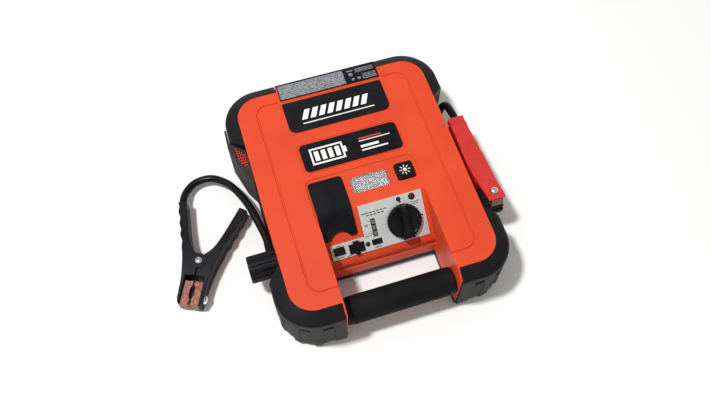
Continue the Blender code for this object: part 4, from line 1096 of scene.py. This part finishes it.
def lower_plate():
    """The plate with a plain battery symbol and short bars."""
    outline = rounded_rectangle((0, 0.0389), 0.0595, 0.0186, 0.006, 8)
    face_plate("lower_plate", outline, 0.0003, 2, "rating_plate")
    cell = [bar(-0.029, y, 0.02, 0.0011) for y in (0.0482, 0.0282)]
    cell += [bar(x, 0.0382, 0.0011, 0.0087) for x in (-0.0479, -0.0101)]
    cell += [bar(-0.0073, 0.0382, 0.0014, 0.004)]
    cell += [bar(-0.0416 + 0.0084 * i, 0.0382, 0.0027, 0.0065) for i in range(4)]
    cell += [bar(0.022, 0.0352, 0.011, 0.0016), bar(0.027, 0.03, 0.016, 0.001)]
    cell += [bar(0.03, 0.0428, 0.019, 0.0006)]
    ink("lower_plate_symbol", cell, "print_white")
    ink("lower_plate_line", [bar(0.025, 0.0462, 0.014, 0.001)], "print_red")


# ---- Socket cover -------------------------------------------------------------------
HINGE_Y = RAMP_TOP_Y - HINGE_RISE * tan(RAMP_ANGLE / 2)
HINGE_Z = POCKET_Z + HINGE_RISE
FLAP_LENGTH = 0.0305
FLAP_THICK = 0.0019


def cover_strap():
    """The soft strap on the face, with a plain plug symbol."""
    low, edge_y = HINGE_Z - COVER_THICK, HINGE_Y + 0.00035
    back = COVER_THICK * tan(RAMP_ANGLE)
    middle = (COVER_X, (COVER_TOP_Y + HINGE_Y) / 2)
    half_y = (COVER_TOP_Y - HINGE_Y) / 2
    outline = rounded_rectangle(middle, COVER_HALF_X, half_y, (0.001, 0.001, 0.004, 0.004), 6)
    strap = slab("cover_strap", outline, low, HINGE_Z, top=0.0006)
    miter = (
        (edge_y, HINGE_Z + 0.001),
        (edge_y, HINGE_Z),
        (edge_y + back, low),
        (edge_y + back + 0.0008, low - 0.001),
        (HINGE_Y - 0.01, low - 0.001),
        (HINGE_Y - 0.01, HINGE_Z + 0.001),
    )
    cut(strap, slab("miter", miter, -0.08, 0.0, axis="X"))
    corners = (0.001, 0.001, 0.002, 0.002)
    rim = rounded_rectangle(middle, COVER_HALF_X - 0.0024, half_y - 0.0024, corners, 4)
    rim_section = mirrored([(-0.0003, HINGE_Z + 0.001), (-0.0003, HINGE_Z - 0.0003)])
    cut(strap, sweep("rim", path_of(rim, closed=True), rim_section, wrap=True))
    plug = [circle(COVER_X, -0.007, 0.0052, 28)]
    plug += [bar(COVER_X + x, -0.0005, 0.0007, 0.0016) for x in (-0.0022, 0.0022)]
    plug += [bar(COVER_X, -0.015, 0.0009, 0.0025)]
    add(strap, *[slab("sign", shape, HINGE_Z - 0.0004, HINGE_Z + 0.00025) for shape in plug])
    finish(strap, "cover", stands_for="socket_cover_strap")


def cover_flap():
    """The flap that folds at the crease of the ramp, with a notch for a finger."""
    fold = shift(COVER_X, HINGE_Y, HINGE_Z) @ Matrix.Rotation(RAMP_ANGLE, 4, "X")
    reach = FLAP_LENGTH + HINGE_RISE * tan(RAMP_ANGLE / 2)
    corners = (0.003, 0.003, 0.001, 0.001)
    outline = rounded_rectangle((0, -reach / 2), COVER_HALF_X - 0.0004, reach / 2, corners, 5)
    flap = slab("cover_flap", outline, -FLAP_THICK, 0.0, top=0.0006, at=fold)
    cut(flap, flared("notch", circle(0.0, -reach - 0.0046, 0.0124, 48), -0.01, 0.0, 0.0005, at=fold))
    finish(flap, "cover", "socket_flap", stands_for="socket_cover_flap")


# ---- Work light and its button ------------------------------------------------------
LIGHT_MIDDLE = (0.0073, -0.01055)
LIGHT_FINS = 9
FIN_LENGTH = 0.0035
SUN_RAYS = 8


def work_light():
    outline = rounded_rectangle(LIGHT_MIDDLE, 0.0212, 0.01005, 0.0012, 4)
    lens = slab("light_lens", outline, 0.078, 0.0794, top=0.0004, steps=2)
    finish(lens, "clear", stands_for="work_light_lens")

    low, high = (-0.0139, -0.0206), (0.0285, -0.0005)
    body = block("light_reflector", (*low, 0.064), (*high, 0.0762))
    levels = ((0.0665, 0.0068), (0.07, 0.004), (0.0762, 0.0014), (0.079, 0.001))
    rings = [[(x, y, z) for x, y in inset(box_points(*low, *high), d)] for z, d in levels]
    cut(body, loft("dish", rings))
    finish(body, "mirror", stands_for="work_light_reflector", angle=10)
    fins = []
    for number in range(LIGHT_FINS):
        x = -0.0085 + 0.004 * number
        outline = [(x - 0.0016, 0.0666), (x + 0.0016, 0.0666), (x, 0.0688)]
        for start in (-0.017, -0.0076):
            fins.append(slab("fin", outline, start, start + FIN_LENGTH, axis="Y"))
    finish(joined("light_fins", fins), "mirror", angle=10)
    tube = rounded_rectangle(LIGHT_MIDDLE, 0.0172, 0.0015, 0.0013, 5)
    finish(slab("light_bar", tube, 0.0668, 0.07, top=0.0009), "print_white")


def light_key():
    """The button beside the light, with a plain sun symbol."""
    outline = rounded_rectangle(LIGHT_KEY_AT, 0.0106, 0.0106, 0.0029, 6)
    button = slab("light_key", outline, 0.0757, 0.0818, top=0.0012, steps=4)
    cut(button, flared("dish", circle(*LIGHT_KEY_AT, 0.0084, 36), 0.0815, 0.0818, 0.0003))
    finish(button, "button", "light_key", stands_for="light_button")
    sun = [circle(*LIGHT_KEY_AT, 0.0022, 24)]
    for number in range(SUN_RAYS):
        along = Vector(polar(1.0, 2 * pi * number / SUN_RAYS))
        across = Vector((-along.y, along.x))
        middle = Vector(LIGHT_KEY_AT) + 0.005 * along
        ray = [middle + a * along + b * across for a, b in bar(0, 0, 0.0015, 0.00045)]
        sun.append([tuple(p) for p in ray])
    finish(marks("light_key_symbol", sun, 0.0813, 0.08158), "print_white", "light_key")


# ---- Control panel ------------------------------------------------------------------
def control_panel():
    """The pale sheet on the ramp with its holes and its fine generic print."""
    outline = [(-0.0169, 0.0), (-0.0169, -0.0364), (-0.0578, -0.0364), (-0.0578, -0.0546)]
    outline += [(0.0587, -0.0546), (0.0587, 0.0)]
    sheet = slab("panel_sheet", outline, GAP, SHEET_TOP, top=0.0002, at=RAMP, steps=1)
    cut(sheet, *[ramp_cutter(hole) for hole in ramp_openings(0.0)])
    finish(sheet, "aluminium", stands_for="control_panel")

    lines = [bar(-0.0125 + 0.0043 * i, -0.0104, 0.0017, 0.00055) for i in range(7)]
    lines += [bar(-0.0075 + 0.0043 * i, -0.0134, 0.0017, 0.00055) for i in range(5)]
    lines += [bar(0.0495, -0.012, 0.005, 0.00035), bar(0.05, -0.0142, 0.0042, 0.00035)]
    lines += [bar(-0.012, -0.024, 0.0022, 0.0004), bar(-0.012, -0.0255, 0.0016, 0.0004)]
    lines += [bar(-0.0092, -0.0347, 0.0028, 0.00025), bar(-0.009, -0.0368, 0.0074, 0.00025)]
    lines += [bar(-0.0037, -0.052, 0.004, 0.00045), bar(-0.0486, -0.0526, 0.004, 0.00045)]
    lines += [bar(-0.0486, -0.0388, 0.003, 0.0004), bar(-0.038, -0.0532, 0.003, 0.0004)]
    lines += [bar(-0.0084, -0.02 - 0.0042 * i, 0.0007, 0.0003) for i in range(5)]
    for degrees, half in ((90, 0.0011), (2, 0.0011), (-62, 0.0008), (46, 0.0005), (-30, 0.0005)):
        x, y = polar(KNOB_RADIUS + 0.0022, radians(degrees))
        lines.append(circle(KNOB_X + x, -KNOB_S + y, half, 16))
    finish(marks("panel_marks", lines, SHEET_TOP - 0.0001, SHEET_TOP + 0.00006, RAMP), "print_dark")

    glass = rounded_rectangle((-0.0036, -0.0287), 0.00275, 0.01075, 0.0007, 3)
    window = slab("charge_bar", inset(glass, 0.0002), -0.0026, 0.0018, top=0.0003, at=RAMP)
    finish(window, "window", stands_for="charge_window")
    cells = [bar(-0.0036, -0.0218 - 0.0069 * i, 0.0018, 0.0024) for i in range(3)]
    finish(marks("charge_bar_cells", cells, 0.0017, 0.00186, RAMP), "cell")


def status_light(name, x, s, radius, paint):
    """A small dome in a ring. s is its distance down the ramp."""
    foot, rise = 0.0017, radius * 0.45
    dome = [(0, -0.0064), (radius, -0.0064), (radius, foot)]
    for step in range(1, 6):
        angle = pi / 2 * step / 6
        dome.append((radius * cos(angle), foot + rise * sin(angle)))
    dome.append((0, foot + rise))
    at = RAMP @ shift(x, -s, 0)
    finish(lathe(name + "_dome", dome, 32, at=at), paint, stands_for=name)
    ring = [(radius + 0.0002, SHEET_TOP), (radius + 0.0009, SHEET_TOP)]
    ring += [(radius + 0.0008, SHEET_TOP + 0.0005), (radius + 0.0003, SHEET_TOP + 0.0005)]
    finish(lathe(name + "_ring", ring, 32, tube=True, at=at), "button")


def panel_key(name, node, x, s, half_x, half_s, top, body):
    """A push button with a shallow dish."""
    outline = rounded_rectangle((x, -s), half_x, half_s, 0.001, 4)
    key = slab(name, outline, -0.0042, top, top=0.0006, at=RAMP)
    dish = rounded_rectangle((x, -s), half_x - 0.0013, half_s - 0.0011, 0.0006, 3)
    cut(key, flared("dish", dish, top - 0.0003, top, 0.0003, at=RAMP))
    finish(key, "button", body, stands_for=node)


def charge_inlet():
    """The inlet with its two pins and its rubber lid."""
    middle = (-0.0283, -0.046)
    mouth = rounded_rectangle(middle, 0.0084, 0.0045, 0.0008, 3)
    housing = slab("inlet_housing", mouth, -0.018, 0.0015, top=0.0003, at=RAMP, steps=2)
    recess = rounded_rectangle(middle, 0.0068, 0.0031, 0.0008, 3)
    cut(housing, flared("recess", recess, -0.014, 0.0015, 0.0003, at=RAMP))
    finish(housing, "button", stands_for="charge_inlet")
    pin = [(0, -0.0142), (0.001, -0.0142), (0.001, -0.0036), (0.0006, -0.003), (0, -0.003)]
    for number, x in enumerate((-0.0321, -0.0245)):
        finish(lathe(f"inlet_prong_{number}", pin, 16, at=RAMP @ shift(x, middle[1], 0)), "steel")

    hinge = RAMP @ shift(middle[0], -0.0379, 0.002)
    half = [(0.0022, -0.0164), (0.003, -0.0134), (0.009, -0.0134), (0.009, -0.0026)]
    half += [(0.0035, -0.0026), (0.0035, 0)]
    cover = slab("inlet_lid", mirrored(half), 0.0, 0.002, top=0.0004, at=hinge)
    field = rounded_rectangle((0, -0.008), 0.0068, 0.0036, 0.0008, 3)
    cut(cover, flared("field", field, 0.0017, 0.002, 0.0002, at=hinge))
    finish(cover, "cover", "inlet_cap", stands_for="charge_inlet_cover")


KNOB_POINTS = 120
KNURL_DEPTH = 0.00035


def knob():
    """A round skirt with a knurled rim and a waisted bar across it."""
    axle = RAMP @ shift(KNOB_X, -KNOB_S, 0)
    section = [(0.985, 0.002), (1.0, 0.0026), (1.0, 0.0056), (0.975, 0.0067), (0.925, 0.0074)]
    section += [(0.85, 0.0074), (0.805, 0.0068), (0.4, 0.0064)]
    rings = []
    for share, z in section:
        ring = []
        for i in range(KNOB_POINTS):
            dent = KNURL_DEPTH if share > 0.97 and i % 4 < 2 else 0.0
            ring.append((*polar(KNOB_RADIUS * share - dent, 2 * pi * i / KNOB_POINTS), z))
        rings.append(ring)
    skirt = loft("knob_turn_piece", rings, at=axle)
    half = [(0.004, 0.0196), (0.0046, 0.012), (0.0038, 0.003), (0.0044, -0.006)]
    half += [(0.0064, -0.013), (0.0072, -0.019)]
    add(skirt, slab("bar", mirrored(half), 0.006, 0.015, top=0.0018, at=axle, steps=4))
    cut(skirt, drum(0.0043, -0.001, 0.0104, axle, 24))
    finish(skirt, "button", "knob", stands_for="power_knob", angle=30)
    pointer = marks("knob_pointer", [bar(0.0, 0.015, 0.0006, 0.0024)], 0.0149, 0.01508, axle)
    finish(pointer, "print_dark", "knob")


# ---- Posts, glands and vent ---------------------------------------------------------
POST_RIBS = 13
TOOTH_SHARE = 0.84


def clamp_post(label, side):
    """A post with round ribs, a collar against the case and a castellated rim."""
    near, far = CASE_HALF_X + GAP, CASE_HALF_X + POST_LENGTH
    profile = [(0.0, -0.0016), (0.08, -0.0003), (0.18, 0.0), (0.5, 0.0), (0.6, -0.0003)]
    profile += [(0.68, -0.0016), (TOOTH_SHARE, -0.0019)]
    stations = [(near, 0.0006), (near + 0.0022, 0.0006), (near + 0.0026, 0.0), (far - 0.0022, 0.0)]
    stations += [(far - 0.001, -0.0003), (far, -0.0011)]
    rings = []
    for x, grow in stations:
        ring = []
        for i in range(POST_RIBS):
            for share, dent in profile:
                radius = POST_RADIUS - 0.0004 + (0.0 if x < near + 0.0024 else dent) + grow * 0.6
                a, b = polar(radius, 2 * pi * (i + share) / POST_RIBS)
                ring.append((side * x, POST_Y + a, POST_Z + b))
        rings.append(ring)
    post = loft("post_" + label, rings)

    at = shift(0, POST_Y, POST_Z)
    low, high = sorted((side * (far - 0.006), side * 0.17))
    cutters = [drum(0.0095, low, high, at, 32, "X")]
    low, high = sorted((side * (near + 0.0008), side * (near + 0.0034)))
    tooth_low, tooth_high = (low, POST_RADIUS - 0.002, -0.0011), (high, POST_RADIUS + 0.002, 0.0011)
    for i in range(POST_RIBS):
        place = at @ Matrix.Rotation(2 * pi * (i + TOOTH_SHARE) / POST_RIBS, 4, "X")
        cutters.append(block("tooth", tooth_low, tooth_high, at=place))
    cut(post, *cutters)
    finish(post, "black", stands_for="clamp_post_" + label, angle=40)

    seat = shift(side * (far - 0.0078), POST_Y, POST_Z) @ Matrix.Rotation(radians(90 * side), 4, "Y")
    head = [(0, 0.0024), (0.0068, 0.0024), (0.0068, 0.0032), (0.006, 0.004), (0, 0.004)]
    screw = lathe("post_screw_" + label, head, 32, at=seat)
    cut(screw, block("slot", (-0.0075, -0.0007, 0.0033), (0.0075, 0.0007, 0.006), at=seat))
    finish(screw, "chrome")


def cable_gland(label, side):
    """A plug in the wall, a rounded elbow block and a ringed boot round the cable."""
    low, high = sorted((side * 0.1095, side * 0.1215))
    gland = drum(0.0051, low, high, shift(0, GLAND_Y, GLAND_Z), 28, "X", "gland_" + label)
    inner, outer = sorted((side * (CASE_HALF_X + GAP), side * 0.1283))
    outline = rounded_rectangle((GLAND_Y, GLAND_Z), 0.0063, 0.006, 0.0025, 5)
    rounded = {"top" if side > 0 else "bottom": 0.0014}
    add(gland, slab("elbow", outline, inner, outer, axis="X", **rounded))
    boot = [(0, 0), (0.0051, 0)]
    for number in range(4):
        y, radius = 0.0044 + 0.0018 * number, 0.00508 - 0.00004 * number
        boot += [(radius, y), (radius - 0.0002, y + 0.0002), (radius - 0.0002, y + 0.0008)]
        boot.append((radius, y + 0.001))
    boot += [(0.00485, BOOT_LENGTH - 0.0003), (0.00475, BOOT_LENGTH), (0, BOOT_LENGTH)]
    place = shift(side * CABLE_X, GLAND_Y + BOOT_START, GLAND_Z) @ Matrix.Rotation(-pi / 2, 4, "X")
    add(gland, lathe("boot", boot, 32, at=place))
    finish(gland, "cover", stands_for="cable_gland_" + label)


def side_vent():
    """A grille in a tapered frame on the left side, below the upper guard."""
    wall = -CASE_HALF_X - GAP
    outline = [(wall, 0.033), (-0.1196, 0.033), (-0.129, 0.0509), (-0.1384, 0.0863)]
    outline += [(-0.1372, 0.112), (-0.1349, 0.1125), (-0.1349, 0.0925), (wall, 0.0764)]
    body = slab("vent_body", outline, 0.0132, 0.07, top=0.0004, bottom=0.0004, steps=2)
    inner = wall - 0.002
    opening = [(inner, 0.053), (-0.1296, 0.064), (-0.1318, 0.0868), (inner, 0.074)]
    cut(body, slab("opening", opening, 0.063, 0.08))
    side_slots = []
    for z in [0.0205 + 0.0085 * number for number in range(5)]:
        side_slots.append(block("side_slot", (-0.145, 0.04, z), (-0.1365, 0.08, z + 0.003)))
    cut(body, *side_slots)
    finish(body, "guard", stands_for="vent_frame")

    inner = wall - 0.0023
    mesh = [(inner, 0.0536), (-0.1292, 0.0643), (-0.1314, 0.086), (inner, 0.0735)]
    grille = slab("vent_mesh", mesh, 0.0633, 0.0706, top=0.0003, steps=2)
    holes = []
    for row in range(8):
        for column in range(4):
            hole = bar(-0.1302 + 0.0026 * column, 0.056 + 0.0036 * row, 0.0009, 0.0013)
            holes.append(slab("hole", hole, 0.0675, 0.08))
    cut(grille, joined("holes", holes))
    finish(grille, "vent_red", stands_for="vent_grille")


# ---- Battery clamps -----------------------------------------------------------------
# (distance along the arm from the pin, half width)
ARM_WIDTHS = ((-0.054, 0.01), (-0.03, 0.0104), (-0.01, 0.0118), (0.012, 0.0118),
              (0.035, 0.0108), (0.047, 0.01), (0.09, 0.0096))
WAVE_LENGTH = 0.015
WAVE_DEPTH = 0.0007
OUTER_EARS, INNER_EARS = (0.0068, 0.0117), (0.0044, 0.0063)
EAR_RADIUS, EAR_ROOM = 0.0091, 0.0096
EAR_PLAY = 0.0004
# The pin hole is turned a little, so that its points don't meet those of the ears.
PIN_HOLE_TURN = Matrix.Rotation(0.05, 4, "Z")
JAW_HALF_WIDTH = 0.007
COIL_TURNS = 3.5
COIL_STEPS = 84
COIL_PITCH = 0.0017
COIL_RADIUS = 0.0046


def curve_through(points, spacing):
    return [(p.x, p.y) for p in smooth_route([(x, y, 0) for x, y in points], spacing)]


def arm_outline():
    """Side view of the upper arm: its inner edge, the end of the handle, its wavy back, its jaw."""
    end = Vector(polar(CLAMP_HANDLE, HANDLE_HALF_ANGLE))
    back = -Vector(polar(1.0, HANDLE_AXIS))
    out = Vector((back.y, -back.x))
    inner = [(0.012, 0.0085), (0.019, 0.0138), (0.0312, 0.019), (0.0466, 0.024)]
    inner = curve_through(inner + [tuple(end - 0.0052 * out + 0.0012 * back)], 0.004)
    corner = [end - 0.0042 * out, end + 0.004 * out, end + 0.0054 * out + 0.0008 * back]
    outer = [tuple(end + 0.0058 * out + 0.0024 * back), (0.045, 0.0345), (0.03, 0.0296)]
    outer += [(0.015, 0.0243), (0.004, 0.0208), (-0.01, 0.0178), (-0.024, 0.0158), (-0.038, 0.0152)]
    waved = []
    for u, v in curve_through(outer, 0.0024):
        dent = 0.0
        if u > 0.014:
            dent = WAVE_DEPTH * (1 - cos(2 * pi * (CLAMP_HANDLE * 0.9 - u) / WAVE_LENGTH))
        waved.append((u + 0.35 * dent, v - dent))
    jaw = [(-CLAMP_JAW + 0.002, 0.0138), (-CLAMP_JAW, 0.0122), (-CLAMP_JAW, 0.0112)]
    jaw += [(-0.0196, 0.0112), (-0.0185, 0.0004)]
    return [(0.003, 0.0004), (0.0098, 0.0056)] + inner + [tuple(p) for p in corner] + waved + jaw


def arm_half_width(u):
    """The arms are widest at the pivot."""
    for (low, one), (high, two) in zip(ARM_WIDTHS, ARM_WIDTHS[1:]):
        if u <= high:
            share = max(0.0, (u - low) / (high - low))
            return one + (two - one) * share
    return ARM_WIDTHS[-1][1]


def clamp_arm(name, node, side, at, paint, body):
    """A solid arm with two ears round the pivot pin, and its domed rivet."""
    outline = [(u, side * v) for u, v in arm_outline()]
    edge = rounding(0.001, 3)
    rings = []
    for distance, sign, drop in [(d, -1, h) for d, h in edge] + [(d, 1, h) for d, h in edge[::-1]]:
        ring = inset(outline, distance)
        rings.append([(u, v, sign * (arm_half_width(u) - drop)) for u, v in ring])
    arm = loft(name, rings)
    faces = arm.modifiers.new("faces", "TRIANGULATE")
    faces.min_vertices = 5
    bake(arm)

    own, other = (OUTER_EARS, INNER_EARS) if side > 0 else (INNER_EARS, OUTER_EARS)
    rooms, ears = [drum(0.007, -0.0042, 0.0042)], []
    for mirror in (1, -1):
        low, high = sorted((mirror * (other[0] - EAR_PLAY), mirror * (other[1] + EAR_PLAY)))
        rooms.append(drum(EAR_ROOM, low, high))
        low, high = sorted((mirror * own[0], mirror * own[1]))
        ears.append(drum(EAR_RADIUS, low, high))
    cut(arm, *rooms)
    add(arm, *ears)
    rivet = shift(-JAW_RIVET, 0, 0) @ Matrix.Rotation(-side * pi / 2, 4, "X")
    cut(arm, drum(0.0023, -0.02, 0.02, PIN_HOLE_TURN), drum(0.0024, 0.004, 0.03, rivet))
    arm.data.transform(at)
    finish(arm, paint, body, stands_for=node, angle=32)

    stud = [(0, 0.0096), (0.002, 0.0096), (0.002, 0.015), (0.0052, 0.015), (0.0052, 0.0155)]
    stud += [(0.0045, 0.0169), (0.003, 0.018), (0, 0.0185)]
    finish(lathe(name.replace("arm", "stud"), stud, 32, at=at @ rivet), "chrome", body)


def clamp_jaw(name, node, side, at, body, hollow):
    """A copper jaw: a channel with a toothed nose, arched or with a flat hollow for the post."""
    if hollow == JAW_HOLLOW:
        points = [(-0.0202, 0.0109), (-0.0202, 0.005), (-0.0212, hollow), (-0.0455, hollow)]
    else:
        points = [(-0.024, 0.0109), (-0.025, 0.006), (-0.0235, 0.0012)]
        for share in [step / 8 for step in range(9)]:
            rise = (hollow - 0.0008) * sin(pi * share) ** 0.5
            points.append((-0.029 - 0.0175 * share, 0.0008 + rise))
    points.append((-0.049, 0.001))
    for number in range(3):
        u = -0.0498 - 0.0013 * number
        points += [(u, 0.0016), (u - 0.0006, 0.0005)]
    points += [(-0.0538, 0.002), (-0.0538, 0.0109)]
    outline = [(u, side * v) for u, v in points]
    jaw = slab(name, outline, -JAW_HALF_WIDTH, JAW_HALF_WIDTH, top=0.0003, bottom=0.0003, at=at, steps=1)
    room = [(-0.019, -0.001), (-0.0478, -0.001), (-0.0478, 0.0094), (-0.019, 0.0094)]
    cut(jaw, slab("room", [(u, side * v) for u, v in room], -0.0056, 0.0056, at=at))
    dents = []
    for number in range(5):
        dent = bar(-0.0235 - 0.0042 * number, side * 0.008, 0.0007, 0.0016)
        dents.append(slab("press", dent, JAW_HALF_WIDTH - 0.0003, 0.008, at=at))
    cut(jaw, *dents)
    finish(jaw, "copper", body, stands_for=node, angle=25)


def clamp(label, place, open_angle, paint, hollow):
    """Two arms on one pin with a coil spring, two copper jaws and domed rivets."""
    for part, side, body in (("fixed", 1, "case"), ("moving", -1, label + "_clamp_lever")):
        at = place @ Matrix.Rotation(-side * open_angle, 4, "Z")
        clamp_arm(f"{label}_arm_{part}", f"{label}_clamp_arm_{part}", side, at, paint, body)
        clamp_jaw(f"{label}_jaw_{part}", f"{label}_clamp_jaw_{part}", side, at, body, hollow)

    head = [(0.0, 0.0131), (0.0018, 0.01305), (0.0032, 0.0127), (0.004, 0.0121), (0.002, 0.0121)]
    pin = [(r, -z) for r, z in head] + head[::-1]
    finish(lathe(label + "_pin", pin, 32, at=place), "chrome", stands_for=label + "_clamp_pivot")

    coil = []
    for share in [i / COIL_STEPS for i in range(COIL_STEPS + 1)]:
        x, y = polar(COIL_RADIUS, 2 * pi * COIL_TURNS * share)
        coil.append(place @ Vector((x, y, COIL_PITCH * COIL_TURNS * (share - 0.5))))
    spring = tube_curve(label + "_spring", coil, 0.0014, 2)
    finish(spring, "steel", stands_for=label + "_clamp_spring")


# ---- Parts inside the case, which keep their CAD shape ------------------------------
INNER_PARTS = {
    "steel": ("handle_core", "knob_shaft", "dc_socket_barrel", "dc_socket_contact",
              "battery_strap", "charger_transformer"),
    "board": ("work_light_board", "panel_board", "main_board"),
    "battery": ("battery",),
    "copper": ("battery_terminal_negative", "battery_terminal_positive"),
    "cable": ("lead_negative",),
    "lead_red": ("lead_positive",),
    "black": ("power_switch",),
}


def inner_parts():
    for paint, names in INNER_PARTS.items():
        for node in [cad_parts[name] for name in names]:
            if not node.material_slots:
                node.data.materials.append(look(paint))
            for slot in node.material_slots:
                slot.material = look(paint)


# ---- Assembly -----------------------------------------------------------------------
studio()
cords = cables()
case_front()
case_rear()
rear_screws()
rear_feet()
corner_guard("bottom_left", -1, -1)
corner_guard("bottom_right", 1, -1)
corner_guard("top_right", 1, 1)
corner_guard("top_left", -1, 1)
carry_grip()
top_label()
upper_plate()
lower_plate()
cover_strap()
cover_flap()
work_light()
light_key()
control_panel()
status_light("status_led_small", 0.0307, 0.0045, 0.0018, "window")
status_light("status_led_large", 0.0464, 0.0053, 0.0031, "led_red")
status_light("status_led_dot", -0.0149, 0.0459, 0.0019, "window")
panel_key("key_test", "test_button", -0.0037, 0.0457, 0.0057, 0.003, 0.003, "test_key")
panel_key("key_breaker", "breaker_button", -0.0486, 0.0448, 0.0062, 0.0045, 0.0034, "breaker_key")
charge_inlet()
knob()
for label, side in (("left", -1), ("right", 1)):
    clamp_post(label, side)
    cable_gland(label, side)
side_vent()
clamp("black", BLACK_FRAME, 0.0, "clamp_black", 0.003)
clamp("red", RED_FRAME, RED_OPEN, "clamp_red", JAW_HOLLOW)
inner_parts()
